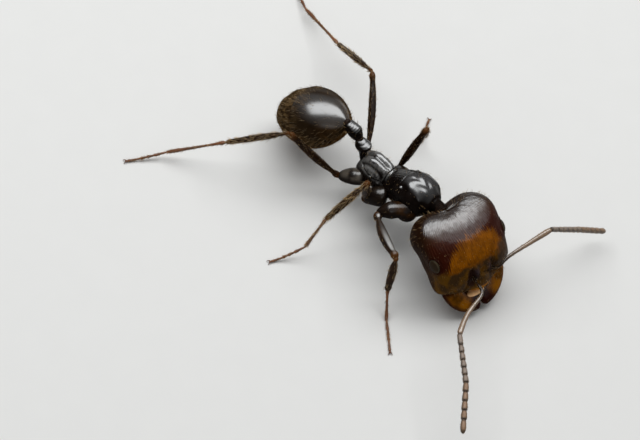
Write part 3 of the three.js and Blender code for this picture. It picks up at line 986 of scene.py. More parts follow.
def hip_finish(pair):
    """Clear brown on the fore hips, black on the middle ones and greyish on the hind ones, darker at both
    ends. Each tone lies only where the surface faces up, as a painted sheen; the fore hips' brown is partly
    their own colour."""
    look = HIP_LOOKS[pair]
    f = glossy("hip_shell_" + pair)
    along = f.around()[1]
    own = f.own()[3]
    dark = tinted(colours().black, 1.5)
    first, last = look["middle"]
    cloud = f.noise(own, 3.0).between(0.3, 0.6)
    # painted sheen: the tone lies in clouds only where the surface faces up
    base = f.mix(cloud * f.upward().between(0.0, 0.7), dark, look["sheen_tone"])
    base = f.mix(along.between(first, last).top(along.between(0.15, 0.0)) * 0.85, base, dark)
    f.shade(base, f.uneven(own, 10.0, 0.2, 0.2))
    f.polish(along.between(first - 0.1, last) * (1 - look["polish"]) + look["polish"], 0.7, 0.01)
    f.bump((f.noise(own, 12.0), 0.01))
    return f.material


def foot_finish():
    """Amber-brown, with a redder, paler painted sheen where it faces up, and darker in the middle of each
    joint.
    """
    c = colours()
    f = Finish("foot_shell", Specular_IOR_Level=0.4, Coat_Weight=0.2, Coat_Roughness=0.2)
    along = f.around()[1]
    own = f.own()[3]
    # painted sheen where the foot faces up
    base = f.mix(f.upward().between(0.2, 0.9) * 0.5, f.clouds(own, c.foot, 0.35, 5.0), FOOT_PAINTED_SHEEN)
    base = f.mix(along.between(0.1, 0.5) * along.between(1.0, 0.6) * 0.6, base, tinted(c.foot, 0.4))
    f.shade(base, f.uneven(own, 14.0, 0.2, 0.26))
    f.bump((f.noise(own, 12.0, stretch=(0.5, 2.0, 2.0)), 0.012))
    return f.material


def feeler_finish(part):
    """Grey-brown with painted light: pale where it faces up and painted shade where it faces down, with
    darker necks between the joints.
    """
    c = colours()
    f = Finish("feeler_shell_" + part, Specular_IOR_Level=0.4, Coat_Weight=0.15, Coat_Roughness=0.25)
    along = f.around()[1]
    own = f.own()[3]
    top = FEELER_PAINTED_LIGHT[part]
    # painted light and shade: pale where the joint faces up, dark where it faces down
    base = f.mix(f.upward().between(0.4, 1.0) * 0.75, tinted(top, 0.25), top)
    neck = along.between(0.2, 0.03).top(along.between(0.68, 0.86))
    f.shade(f.mix(neck * 0.85, base, tinted(c.feeler, 0.25)), f.uneven(own, 16.0, 0.2, 0.34))
    f.bump((f.noise(own, 20.0, stretch=(0.6, 1.5, 1.5)), 0.012))
    return f.material


def scape_finish():
    """Black at its root, turning grey-brown along its length, with a pale painted highlight where it faces
    up, polished.
    """
    c = colours()
    f = glossy("scape_shell")
    along = f.around()[1]
    own = f.own()[3]
    base = f.mix(along.between(0.1, 0.7), c.black, c.feeler)
    base = f.mix(f.noise(own, 4.0).between(0.4, 0.7) * 0.5, base, tinted(c.brown, 1.5))
    # painted highlight along the scape's upper side
    base = f.mix(f.upward().between(0.4, 1.0) * along.between(0.25, 0.6) * 0.5, base, SCAPE_PAINTED_HIGHLIGHT)
    f.shade(base, f.uneven(own, 12.0, 0.16, 0.18))
    f.polish(along.between(0.1, 0.3), 1.0, 0.35)
    f.bump((f.noise(own, 10.0, stretch=(0.4, 2.0, 2.0)), 0.014))
    return f.material


def jaw_finish():
    """Amber with dark clouds, black-brown at the root, at the tip and along the toothed edge. The tip's dark
    is partly its own colour and partly painted shade.
    """
    c = colours()
    f = glossy("jaw_shell")
    forward, aside, _, own = f.own()
    base = f.mix(f.noise(own, 2.4).between(0.4, 0.62), tinted(c.amber, 0.55), tinted(c.amber, 1.6))
    dark = aside.between(-0.12, -0.34).top(forward.between(0.35, 0.05)).top(aside.between(0.26, 0.42))
    # the tip's black-brown is partly the jaw's own colour and partly painted shade
    base = f.mix(dark.top(forward.between(0.85, 1.25)), base, tinted(c.wine, 0.7))
    f.shade(base, f.uneven(own, 9.0, 0.18, 0.18))
    f.polish(most=0.6)
    groove = aside.ripple(0.075, f.noise(own, 2.0) * 6.0)
    f.bump((groove, 0.008), (f.cells(own, 6.0).between(0.0, 0.2), 0.012))
    return f.material


def eye_finish():
    """Dark olive-brown with a net between the facets and a pale ring near its rim, which is a painted
    highlight.
    """
    c = colours()
    f = Finish("eye_lens", Roughness=0.3, Specular_IOR_Level=0.05, Coat_Weight=0.03, Coat_Roughness=0.12)
    forward, _, up, own = f.own()
    net = f.cells(own, 30.0, "DISTANCE_TO_EDGE").between(0.0, 0.1)
    lens = f.mix(f.noise(own, 5.0).between(0.35, 0.65), *LENS_TONES)
    across = (forward / EYE["half"][0]) ** 2.0 + (up / EYE["half"][2]) ** 2.0
    # painted highlight: a pale ring near the eye's rim
    lens = f.mix(across.between(0.62, 0.78) * across.between(1.0, 0.9), lens, c.eye)
    f.shade(f.mix(net * 0.6, tinted(c.eye, 0.2), lens))
    f.bump((net, 0.008))
    return f.material


def lip_finish():
    """Pale straw, browner in soft clouds."""
    f = Finish("lip_shell", Specular_IOR_Level=0.3)
    own = f.own()[3]
    f.shade(f.clouds(own, LIP_TONE, 0.14, 4.0), f.uneven(own, 9.0, 0.2, 0.3))
    f.bump((f.noise(own, 12.0), 0.006))
    return f.material


def soft_finish():
    """Dull brown folded skin, for the neck, the mouthparts and the waist's joints."""
    f = Finish("soft_skin", Specular_IOR_Level=0.12)
    own = f.own()[3]
    f.shade(f.clouds(own, colours().skin, 0.5, 6.0), f.uneven(own, 9.0, 0.2, 0.4))
    f.bump((f.noise(own, 7.0, 3.0, stretch=(3.0, 0.8, 0.8)), 0.02))
    return f.material


def hair_finish(name, factor=1.0):
    """Pale gold times a factor, some hairs browner than others."""
    hair = colours().hair
    f = Finish(name, Roughness=0.4, Specular_IOR_Level=0.55, Coat_Weight=0.15, Coat_Roughness=0.3)
    mixed = f.noise(f.place(), 2600.0, 1.0).between(0.4, 0.62)
    f.shade(f.mix(mixed, tinted(hair, 0.55 * factor), tinted(hair, 1.15 * factor)))
    f.bump((f.noise(f.place(), 20000.0, 1.0), 0.002))
    return f.material


def floor_finish():
    """Plain and pale, with a faint grain."""
    pale = colours().floor
    f = Finish("studio_floor", Roughness=0.85, Specular_IOR_Level=0.2)
    f.shade(f.mix(f.noise(f.place(), 900.0), tinted(pale, 0.985), tinted(pale, 1.01)))
    return f.material


FINISHES = {}


def finish(maker, *arguments):
    """The material that a function makes, made once."""
    key = (maker.__name__, *arguments)
    if key not in FINISHES:
        FINISHES[key] = maker(*arguments)
    return FINISHES[key]


# ------------------------------------------------------------------ head

SKINS = {}  # what the hairs are planted on, by name
FACET_ROW = 0.866  # how far apart the rows of an eye's facets are, in facets
LIP = {"half": (0.15, 0.4, 0.13), "at": (1.95, -0.14, 0.03), "yaw": -5, "pitch": 20}
MOUTH_LOBES = (  # half sizes, columns, place and pitch
    ((0.25, 0.46, 0.26), 40, (1.62, 0, -0.17), 20),
    ((0.44, 0.15, 0.2), 32, (1.18, 0.2, -0.66), 8),
    ((0.44, 0.15, 0.2), 32, (1.18, -0.2, -0.66), 8),
    ((0.4, 0.14, 0.16), 32, (1.2, 0, -0.74), 8),
)


def head_egg(rows, columns):
    """A squarish egg, its rings evenly parted, hollowed behind and filled out in front as the solid's is,
    with the front plate drawn out over the jaws. What stands past the crown's plane is drawn back towards
    it by a share, over a rounded corner."""
    length, width, depth = HEAD["half"]
    along_power, wide_power, tall_power, ring_power = HEAD["powers"]
    fine = np.linspace(-HEAD_POLE, HEAD_POLE, HEAD_FINE) * math.pi
    travelled = run_length(length * soften(np.sin(fine), along_power), width * np.cos(fine) ** wide_power)
    turn = np.interp(np.linspace(0, travelled[-1], rows), travelled, fine)
    along, wide = length * soften(np.sin(turn), along_power), width * np.cos(turn) ** wide_power
    tall = depth * np.cos(turn) ** tall_power
    angle = even_angles(width, depth, ring_power, columns)
    grid = rings(along, wide, tall, -tall, columns, ring_power, angle)
    share, aside = grid[..., 0] / length, grid[..., 1].copy()
    rear, front = np.clip(-share, 0, 1) ** 4, np.clip(share, 0, 1) ** 2
    grid[..., 1] *= 1 + HEAD["front_fill"] * front**2
    grid[..., 0] += HEAD["notch"] * rear * hill(aside, HEAD["notch_spread"])
    grid[..., 2] *= 1 - HEAD["front_thinning"] * front
    jowl = step(grid[..., 2], 0.75, -0.1) * step(grid[..., 0], -1.0, 0.0) * step(grid[..., 0], 1.4, 0.5)
    grid[..., 1] *= 1 - HEAD["jowl"] * jowl + HEAD["lobes"] * hill(grid[..., 0] + 0.95, 0.6)
    shelf = hill(grid[..., 1], 0.62) * step(share, 0.55, 1.0) * step(grid[..., 2], -0.3, 0.35)
    grid[..., 0] += HEAD["shelf"] * shelf
    over = grid[..., 0] * HEAD["crown"][0] + grid[..., 2] * HEAD["crown"][1] - HEAD["crown_height"]
    corner = HEAD["crown_corner"]
    cut = (over - np.sqrt(over**2 + corner**2) + corner) / 2
    lowered = (over - cut) * HEAD["crown_flatness"]
    grid[..., 0] -= lowered * HEAD["crown"][0]
    grid[..., 2] -= lowered * HEAD["crown"][1]
    return grid


def head_skin(rows=180, columns=500):
    """The head's egg with its relief, fine lengthwise ridges that waver and a little roughness."""
    grid = head_egg(rows, columns)
    around = np.arange(columns)[None] / columns
    wobble = 1.3 * np.sin(grid[..., 0] * 2.1 + around * 19) + 0.8 * np.sin(grid[..., 0] * 4.7 + around * 41)
    ridges = np.sin(around * TAU * HEAD["ridges"] + wobble) * (0.62 + 0.25 * grain(grid.shape[:2], 11, 3))
    calm = step(grid[..., 0], 1.5, 1.2) * step(grid[..., 0], -1.6, -1.4)
    rough = 0.0011 * grain(grid.shape[:2], 3.5, 1) + 0.003 * grain(grid.shape[:2], 16, 2)
    height = head_relief(grid) + sculpture().ridge_depth / MM * 0.5 * ridges * calm + rough
    return pushed(grid, height)


def head_relief(grid):
    """How far the head's features stand out of its egg: each is a hill, or a step, over a distance."""
    forward, aside, up = grid[..., 0], np.abs(grid[..., 1]), grid[..., 2]
    upper = step(up, 0.1, 0.4)
    # the feelers' pits
    spread = 0.16 + 0.14 * step(forward, 0.9, 1.4)
    pit = np.hypot((forward - SOCKET[0] - 0.1) / 0.38, (aside - SOCKET[1] - 0.02) / spread)
    relief = -0.2 * np.exp(-(pit**2.6)) * upper
    # the keels beside them
    keel = aside - 0.27 - 0.12 * step(forward, 1.0, 0.5)
    relief += 0.08 * hill(keel, 0.07) * step(forward, 0.55, 0.85) * step(forward, 1.42, 1.2) * upper
    relief += 0.03 * hill(aside - 0.72, 0.08) * hill(forward - 1.08, 0.2) * upper
    # the front plate and its groove, the hollow behind it and the line down the middle of the face
    plate = forward - 1.16 - 0.32 * np.clip(aside / 0.75, 0, 2) ** 2
    relief += (0.03 * step(plate, 0, 0.08) - 0.04 * hill(plate, 0.035)) * step(aside, 1.0, 0.8) * upper
    relief -= 0.05 * hill(forward - 1.0, 0.16) * hill(aside, 0.14) * upper
    relief -= 0.004 * hill(aside, 0.05) * step(forward, -1.45, -1.1) * step(forward, 0.85, 0.6) * upper
    # the eyes' raised rims and hollows
    lean = math.radians(EYE["lean"])
    at, half = EYE["at"], EYE["half"]
    over = (up - at[2]) * math.cos(lean) - (aside - at[1]) * math.sin(lean)
    eye = np.hypot((forward - at[0]) / half[0], over / half[2])
    relief += (0.028 * hill(eye - 1.13, 0.12) - 0.05 * step(eye, 1.05, 0.8)) * step(aside, 1.2, 1.45)
    # the notches over the jaws' joints, the groove under the chin and soft waves over the face
    corner = np.hypot((forward - 1.42) / 0.16, (aside - 1.28) / 0.3)
    relief -= 0.09 * hill(corner, 1.0) * step(aside, 0.8, 1.0)
    relief -= 0.05 * hill(aside, 0.12) * step(up, -0.5, -0.8) * step(forward, 1.2, 0.8)
    relief += 0.012 * np.sin(forward * 3.1 + 1.0) * np.cos(aside * 2.7) * upper
    return relief


def eye_skin(sign):
    """A low dome in fine six-sided facets: each facet's height falls with the distance from its middle."""
    grid = egg(EYE["half"], 84, 120)
    along, over = grid[..., 0], grid[..., 2]
    pitch, rise = EYE["facet"], EYE["facet"] * FACET_ROW
    row = np.round(over / rise)
    shift = (row % 2) / 2
    across = along - np.round(along / pitch - shift) * pitch - shift * pitch
    away = np.hypot(across, over - row * rise) / pitch
    grid = pushed(grid, 0.006 * (1 - 3.2 * away**2) * step(np.abs(grid[..., 1]), 0.01, 0.04))
    grid[..., 1] *= sign
    forward, aside, up = EYE["at"]
    place = HEAD_PLACE.at((forward, sign * (aside - 0.02), up), roll=sign * EYE["lean"])
    return Skin(grid, place)


def jaw_skin(sign, rows=110, columns=64):
    """A blade bent inwards on an arc, thinning to its inner edge, which is cut into teeth that grow
    towards the tip: each tooth is half a sine along the edge."""
    way = np.concatenate([np.linspace(0, 0.93, rows - 14), 0.93 + 0.07 * np.sin(np.linspace(0.1, 1.5, 14))])
    turn = np.radians(MANDIBLE["turn"]) * way
    bend = MANDIBLE["length"] / np.radians(MANDIBLE["turn"])
    angle = np.linspace(0, TAU, columns, endpoint=False)
    outer = 0.42 * (1 - 0.36 * way**2)
    inner = 0.4 * (1 - 0.2 * way**2) + 0.075 * step(way, 0.6, 0.85)
    close = blunt(way, 0.9, 0.0004)[:, None]
    tooth = np.abs(np.sin(math.pi * 7 * np.clip((way - 0.44) / 0.53, 0, 1))) ** 0.8
    edge = np.clip(-np.cos(angle), 0, 1)[None] ** 8
    across = np.where(np.cos(angle) > 0, outer[:, None], inner[:, None]) * np.cos(angle)
    across -= edge * (tooth * (0.05 + 0.09 * way))[:, None]
    thin = 1 - 0.72 * edge * step(way, 0.25, 0.5)[:, None]
    depth = (0.31 * (1 - 0.5 * way))[:, None] * soften(np.sin(angle), 0.9) * thin * close
    across = across * close
    ahead, away = np.sin(turn)[:, None], np.cos(turn)[:, None]
    inwards = sign * (across * away - bend * (1 - away))
    grid = np.stack([bend * ahead + across * ahead, inwards, depth], axis=-1)
    reach = np.broadcast_to((way * MANDIBLE["length"])[:, None], across.shape)
    forward, aside, up = MANDIBLE["at"]
    place = HEAD_PLACE.at((forward, sign * aside, up), pitch=MANDIBLE["pitch"])
    return Skin(grid, place, np.stack([reach, across, depth], axis=-1))


def palp_skin(sign, rows=40):
    """A short beaded feeler behind the jaws: a parabola, with half a sine to each bead."""
    way = np.linspace(0, 1, rows)
    path = np.stack([1.45 + 0.42 * way, sign * (0.3 + 0.22 * way), -0.78 - 0.2 * way**2], axis=-1)
    beads = 0.035 * (0.72 + 0.5 * np.abs(np.sin(way * math.pi * 4))) * np.sqrt(1 - way**6 * 0.98)
    return Skin(sweep(path, beads, beads, 12), HEAD_PLACE)


class ANT_OT_head(Operator):
    """Make the head's shell, with the two lobes that overhang the feelers' sockets"""

    bl_idname = "ant.head"
    bl_label = "Head"

    def execute(self, _context):
        SKINS["head"] = Skin(head_skin(), HEAD_PLACE)
        skins = [SKINS["head"]]
        for _, sign in SIDES:
            forward, aside, up = LOBE["at"]
            at = (forward, sign * aside, up)
            grid = egg(LOBE["half"], 36, 48)
            place = HEAD_PLACE.at(at, -sign * LOBE["splay"], -LOBE["dip"], -sign * LOBE["lean"])
            skins.append(Skin(grid, place, grid + np.array(at)))
        dress("head_shell", skins, finish(head_finish), "head_shell", ["head"])
        return {"FINISHED"}


class ANT_OT_eyes(Operator):
    """Make the two faceted eyes"""

    bl_idname = "ant.eyes"
    bl_label = "Eyes"

    def execute(self, _context):
        for side, sign in SIDES:
            dress("eye_lens_" + side, [eye_skin(sign)], finish(eye_finish), "eye_lens", ["eye_" + side])
        return {"FINISHED"}


class ANT_OT_jaws(Operator):
    """Make the two toothed jaws"""

    bl_idname = "ant.jaws"
    bl_label = "Jaws"

    def execute(self, _context):
        for side, sign in SIDES:
            name = "jaw_" + side
            SKINS[name] = jaw_skin(sign)
            dress(name, [SKINS[name]], finish(jaw_finish), "amber_shell", ["mandible_" + side])
        return {"FINISHED"}


class ANT_OT_mouth(Operator):
    """Make the pale lip under the front plate, and the lobes and palps behind the jaws"""

    bl_idname = "ant.mouth"
    bl_label = "Mouthparts"

    def execute(self, _context):
        lip = Skin(egg(LIP["half"], 30, 40), HEAD_PLACE.at(LIP["at"], yaw=LIP["yaw"], pitch=LIP["pitch"]))
        dress("upper_lip", [lip], finish(lip_finish), "amber_shell")
        skins = []
        for half, columns, at, pitch in MOUTH_LOBES:
            skins.append(Skin(egg(half, 30, columns), HEAD_PLACE.at(at, pitch=pitch)))
        skins += [palp_skin(sign) for _, sign in SIDES]
        dress("mouthparts", skins, finish(soft_finish), "amber_shell")
        return {"FINISHED"}


# ------------------------------------------------------------------ feelers

SCAPE_ELBOW = {"left": 0.13, "right": 0.3}
SCAPE_ROOT = (0.08, -0.12, -0.05)  # where a feeler leaves its pit, from the socket
SCAPE_BEND = {"left": (0.0, -0.1, -0.1), "right": (0.25, -0.3, 0.09)}  # aside, back, up
SCAPE_RADII = [[0, 0.08], [0.035, 0.09], [0.07, 0.045], [0.16, 0.055], [0.6, 0.08], [0.92, 0.105], [1, 0.1]]
FUNICULUS_JOINTS = {"base": 6, "tip": 5}


def straight_own(path, radius, columns):
    """What a finish reads on a swept tube: the way along it, and the ring as if the tube were straight."""
    way = np.concatenate([[0], np.cumsum(np.linalg.norm(np.diff(path, axis=0), axis=1))])
    radius = np.broadcast_to(radius, len(path))
    return rings(way, radius, radius, -radius, columns)


def tube(path, radius, columns=20, tall=1.0):
    """A skin swept along a path in the row frame, which is turned to forward, aside and up first."""
    course = np.stack([-path[:, 1], path[:, 0], path[:, 2]], axis=-1)
    grid = sweep(course, radius, radius * tall, columns)
    return Skin(grid, Place(), straight_own(path, radius, columns))


def feeler_joints(side, sign):
    """The feeler's corners: where it leaves its pit, then the far ends of its three solids, the first of
    them looked for from the socket."""
    forward, aside, up = SOCKET
    joints = [HEAD_PLACE.out((forward, sign * aside, up))]
    for node in ("scape_", "funiculus_base_", "funiculus_tip_"):
        joints.append(far_end(node + side, joints[-1]))
    forward, aside, up = (at + more for at, more in zip(SOCKET, SCAPE_ROOT))
    joints[0] = HEAD_PLACE.out((forward, sign * aside, up))
    return joints


def bowed(start, end, bow, points=60):
    """A path from start to end that swings out by bow, most in the middle: a parabola."""
    share = np.linspace(0, 1, points)[:, None]
    return start + (end - start) * share + np.asarray(bow) * 4 * share * (1 - share)


def scape_path(start, end, bend, elbow, rows=90):
    """From the pit to the scape's end, with an elbow near the root: the way out grows as a power of the
    share of the length and dies away exponentially past the elbow."""
    share = np.linspace(0, 1, rows)[:, None]
    part = share / elbow
    swing = part**3.5 * np.exp(3.5 * (1 - part)) * (1 - share**6)
    return start + (end - start) * share + np.asarray(bend) * swing


class ANT_OT_feelers(Operator):
    """Make the two feelers: a long bent scape and a string of short joints each"""

    bl_idname = "ant.feelers"
    bl_label = "Feelers"

    def execute(self, _context):
        for side, sign in SIDES:
            joints = feeler_joints(side, sign)
            path = scape_path(*joints[:2], SCAPE_BEND[side], SCAPE_ELBOW[side])
            share = np.linspace(0, 1, len(path))
            radius = smooth_rows(SCAPE_RADII, share)[:, 0] * np.sqrt(1 - share**70 * 0.9)
            name = "scape_" + side
            SKINS[name] = tube(path, radius, 24)
            dress("scape_shell_" + side, [SKINS[name]], finish(scape_finish), "feeler_shell", [name])
            for part, start, end in (("base", *joints[1:3]), ("tip", *joints[2:])):
                name = "funiculus_" + part + "_" + side
                SKINS[name] = funiculus_beads(start, end, part)
                piece = "funiculus_shell_" + part + "_" + side
                dress(piece, SKINS[name], finish(feeler_finish, part), "feeler_shell", [name])
        return {"FINISHED"}


def funiculus_beads(start, end, part):
    """A string of joints, each a short club: narrow neck, swelling forwards, rounded end."""
    count = FUNICULUS_JOINTS[part]
    weights = np.ones(count)
    weights[0 if part == "base" else -1] = 1.45
    cuts = np.concatenate([[0], np.cumsum(weights / weights.sum())])
    beads = []
    for number, (low, high) in enumerate(zip(cuts[:-1], cuts[1:])):
        way = np.linspace(0, 1, 26)
        thick = 0.097 + 0.016 * (low if part == "base" else 1)
        root = 0.86 if part == "base" and number == 0 else 0.6
        swell = root + (1 - root) * np.sin(math.pi * np.clip(way * 0.62 + 0.1, 0, 1)) ** 0.9
        last = part == "tip" and number == count - 1
        close = blunt(way, 0.45, 0.002, 2.2) if last else blunt(way, 0.86, 0.08)
        path = start + (end - start) * (low + (high - low) * way * 1.02)[:, None]
        beads.append(tube(path, thick * swell * close, 18))
    return beads


# ------------------------------------------------------------------ trunk, waist and gaster


def trunk_relief(grid):
    """Cross ridges on the rear part, a breathing hole, a gland's bulge and slanting seams on each side:
    sines, and hills and steps over distances."""
    forward, aside, up = grid[..., 0], np.abs(grid[..., 1]), grid[..., 2]
    # cross ridges on the rear, and fine lengthwise ones between them and the dome
    wobble = 0.7 * np.sin(aside * 5.0 + 1.3) + 0.5 * np.sin(forward * 2.3 + up * 4.0)
    ridges = 0.5 + 0.5 * np.sin(forward * TAU / 0.115 + wobble)
    rear = step(forward, -0.45, -0.75) * step(up, 0.15, -0.2)
    relief = sculpture().trunk_ridges / MM * ridges * rear
    saddle = step(forward, -0.6, -0.45) * step(forward, 0.2, 0.0) * step(up, -0.2, 0.2)
    relief += 0.01 * (0.5 + 0.5 * np.sin(aside * TAU / 0.1 + forward * 3)) * saddle
    # the rear's long humps and the grooves beside them
    back = step(forward, -0.5, -0.8) * step(forward, -1.85, -1.5) * step(up, -0.35, 0.1)
    humps = 0.05 * hill(aside - 0.2, 0.12) - 0.05 * hill(aside, 0.06) - 0.06 * hill(aside - 0.4, 0.06)
    relief += humps * back
    relief += 0.012 * np.sin(forward * 9 + aside * 4) * back
    relief -= 0.07 * hill(forward + 0.5 + 0.1 * aside, 0.09) * step(up, -0.5, 0.0)
    # wrinkles on the dome
    dome = step(forward, 0.15, 0.5) * step(forward, 1.5, 1.1)
    relief += 0.02 * np.sin(forward * 7 + 2 * np.sin(aside * 6)) * np.sin(aside * 8 + forward * 3) * dome
    # the breathing hole and the gland's bulge
    hole = np.hypot((forward + 1.12) / 0.08, (up + 0.12) / 0.06)
    relief += (0.03 * hill(hole - 1.2, 0.4) - 0.05 * hill(hole, 0.7)) * step(aside, 0.3, 0.42)
    gland = np.hypot((forward + 1.56) / 0.3, (up + 0.72) / 0.2)
    relief += 0.05 * hill(gland, 0.8) * step(aside, 0.2, 0.35)
    # the seams on the sides, the knobs and the collar
    slant = up + 0.25 - 0.7 * (forward + 0.2)
    relief -= 0.035 * hill(slant, 0.035) * step(aside, 0.3, 0.45) * hill(forward + 0.2, 0.35)
    seam = up + 0.42 + 0.25 * forward
    relief -= 0.035 * hill(seam, 0.04) * step(aside, 0.25, 0.4) * step(forward, 0.9, 0.6)
    for at in TRUNK_BEADS:
        bead = np.sqrt((forward - at[0]) ** 2 + (aside - at[1]) ** 2 + (up - at[2]) ** 2)
        relief += 0.045 * hill(bead, 0.06) - 0.03 * hill(bead - 0.12, 0.03)
    relief -= 0.03 * hill(forward - 1.5 - 0.12 * np.cos(up * 3), 0.05)
    relief += 0.012 * np.sin(forward * 3.4) * np.cos(aside * 3.0 + 0.5)
    return relief


def trunk_skin(part):
    """One length of the trunk: the outline's rings, pushed out by the relief."""
    start, end = TRUNK_PARTS[part]
    grid = outlined(TRUNK_OUTLINE, start, end, round((end - start) * 90), 168, 0.05, 0.9)
    return pushed(grid, trunk_relief(grid))


class ANT_OT_trunk(Operator):
    """Make the three parts of the trunk"""

    bl_idname = "ant.trunk"
    bl_label = "Trunk"

    def execute(self, _context):
        for part in TRUNK_PARTS:
            SKINS[part] = Skin(trunk_skin(part), TRUNK_PLACE)
            dress(part + "_shell", [SKINS[part]], finish(trunk_finish), "black_shell", [part])
        return {"FINISHED"}


class ANT_OT_neck(Operator):
    """Make the folded skin of the neck: a straight tube whose radius is a sine about its mean"""

    bl_idname = "ant.neck"
    bl_label = "Neck"

    def execute(self, _context):
        path = bowed(TRUNK_PLACE.out((1.7, 0, 0.16)), HEAD_PLACE.out((-1.2, 0.03, -0.25)), np.zeros(3))
        folds = 0.25 + 0.018 * np.sin(np.linspace(0, 9 * math.pi, len(path)))
        dress("neck_skin", [tube(path, folds, 40)], finish(soft_finish), "black_shell")
        return {"FINISHED"}


def knot_relief(grid):
    """Wavering cross ridges on the knots' backs and bellies, and a soft grain."""
    forward, aside, up = grid[..., 0], grid[..., 1], grid[..., 2]
    ridges = np.sin(forward * TAU / 0.09 + 0.8 * np.sin(aside * 9) + 0.6 * np.sin(up * 7))
    return 0.0025 * ridges * step(np.abs(up), 0.05, 0.2) + 0.005 * grain(grid.shape[:2], 16, 5)


class ANT_OT_waist(Operator):
    """Make the waist's two knots and the skin of its joints"""

    bl_idname = "ant.waist"
    bl_label = "Waist"

    def execute(self, _context):
        knots = (("petiole", PETIOLE, PETIOLE_PLACE), ("postpetiole", POSTPETIOLE, POSTPETIOLE_PLACE))
        for name, shape, place in knots:
            grid = outlined(shape["outline"], 0, shape["outline"][-1][0], 80, 110, 0.06)
            SKINS[name] = Skin(pushed(grid, knot_relief(grid)), place)
            dress(name + "_shell", [SKINS[name]], finish(waist_finish), "black_shell", [name])
        joints = (PETIOLE_PLACE, POSTPETIOLE_PLACE, GASTER_PLACE)
        skins = [Skin(egg((0.12, 0.15, 0.15), 24, 32), place) for place in joints]
        dress("waist_skin", skins, finish(soft_finish), "black_shell")
        return {"FINISHED"}


def plate_skin(number, columns=240):
    """One length of a blunt egg: its half width goes as a power of the sine of the share of its length,
    its rear edge is a thin rounded rim, and a groove along each side parts its back from its belly."""
    seams = GASTER["seams"]
    start, end = seams[number] - (GASTER["overlap"] if number else 0), seams[number + 1]
    rows = round((end - start) * GASTER["length"] * 42) + 20
    share, inset = lips(start, end, rows, GASTER["rim"])
    swell = np.sin(math.pi * np.clip(share, 0.006, 0.997)) ** GASTER["fullness"]
    swell = swell * (1 - number * GASTER["step"])
    half_width, half_height = GASTER["half"]
    last = number == len(seams) - 2
    inset = inset * (0.6 if last else 1.6)
    height = half_height * swell - inset
    grid = rings(share * GASTER["length"], half_width * swell - inset, height, -height, columns)
    angle = np.linspace(0, TAU, columns, endpoint=False)[None]
    groove = 0
    for at in (-GASTER["groove"], math.pi + GASTER["groove"]):
        groove = groove + hill(np.angle(np.exp(1j * (angle - at))), 0.035)
    brim = hill((share - end + GASTER["rim"]) / GASTER["rim"], 1.0)[:, None] * (1 - last)
    relief = 0.012 * brim - 0.03 * groove
    relief = relief + 0.012 * np.sin(grid[..., 0] * 2.4 + 0.6) * np.cos(angle * 3 + 0.4)
    grid = pushed(grid, relief)
    grid[..., 2] -= GASTER["drop"]
    return grid


class ANT_OT_gaster(Operator):
    """Make the gaster's four plates"""

    bl_idname = "ant.gaster"
    bl_label = "Gaster"

    def execute(self, _context):
        for number in range(len(GASTER["seams"]) - 1):
            name = "gaster_" + str(number + 1)
            SKINS[name] = Skin(plate_skin(number), GASTER_PLACE)
            dress(name + "_plate", [SKINS[name]], finish(gaster_finish), "black_shell", [name])
        return {"FINISHED"}


# ------------------------------------------------------------------ legs

HIPS = {"fore": (1.0, 0.46, -0.42), "mid": (-0.2, 0.46, -0.62), "hind": (-1.35, 0.42, -0.58)}
LEG_PARTS = ("coxa", "femur", "tibia", "basitarsus", "tarsus")
COXA_RADII = {
    "fore": [[0, 0.66], [0.06, 0.86], [0.2, 1.0], [0.36, 0.9], [0.46, 0.74], [0.56, 0.76], [0.68, 0.78],
             [0.82, 0.6], [0.93, 0.42], [1, 0.3]],
    "mid": [[0, 0.6], [0.06, 0.8], [0.3, 1.0], [0.65, 0.86], [0.88, 0.6], [1, 0.42]],
    "hind": [[0, 0.6], [0.06, 0.8], [0.3, 1.0], [0.65, 0.9], [0.88, 0.64], [1, 0.4]],
}
COXA_RISE = {"fore": 0.24, "mid": 0.14, "hind": 0.06}
LEG_RADII = {
    "femur": [[0, 0.09], [0.03, 0.13], [0.085, 0.14], [0.13, 0.095], [0.17, 0.095], [0.3, 0.135],
              [0.5, 0.165], [0.72, 0.15], [0.88, 0.118], [0.965, 0.128], [1, 0.085]],
    "tibia": [[0, 0.065], [0.035, 0.09], [0.09, 0.075], [0.25, 0.12], [0.45, 0.142], [0.65, 0.138],
              [0.86, 0.115], [0.96, 0.105], [1, 0.07]],
    "basitarsus": [[0, 0.045], [0.04, 0.07], [0.14, 0.055], [0.6, 0.052], [0.93, 0.062], [1, 0.045]],
}
COXA_SIZE = {"fore": 0.42, "mid": 0.4, "hind": 0.32}
LEG_STOUTNESS = {"fore": 1.12, "mid": 0.92, "hind": 0.86}
LEG_DOWN = {"fore": 0.25, "mid": 1.0, "hind": 0.9}  # how dense the hairs on its lengths are
TOE_CUTS = (0, 0.3, 0.48, 0.64, 1.0)
TOE_COUNT = len(TOE_CUTS) - 1
TOE_LEVEL = 0.06  # height of the last joint's middle line over the floor, at its end
TOE_START = 0.07  # the lowest that it may start
CLAW_LEVEL = 0.012  # height of a claw's tip


def leg_joints(pair, side, sign):
    """A leg's corners: its hip, then the far ends of its five solids."""
    forward, aside, up = HIPS[pair]
    joints = [TRUNK_PLACE.out((forward, sign * aside, up))]
    for part in LEG_PARTS:
        joints.append(far_end("_".join((pair, part, side)), joints[-1]))
    return joints


def rod(start, end, table, stout=1.0, bow=0.0, rows=90, columns=28, tall=1.0):
    """A length of leg with its radius from a table and both ends closed in round."""
    share = np.linspace(0, 1, rows)
    radius = smooth_rows(table, share)[:, 0] * stout
    radius = radius * np.sqrt(np.clip(1 - np.abs(share * 2 - 1) ** 60 * 0.9, 0.01, 1))
    return tube(bowed(start, end, bow, rows), radius, columns, tall)


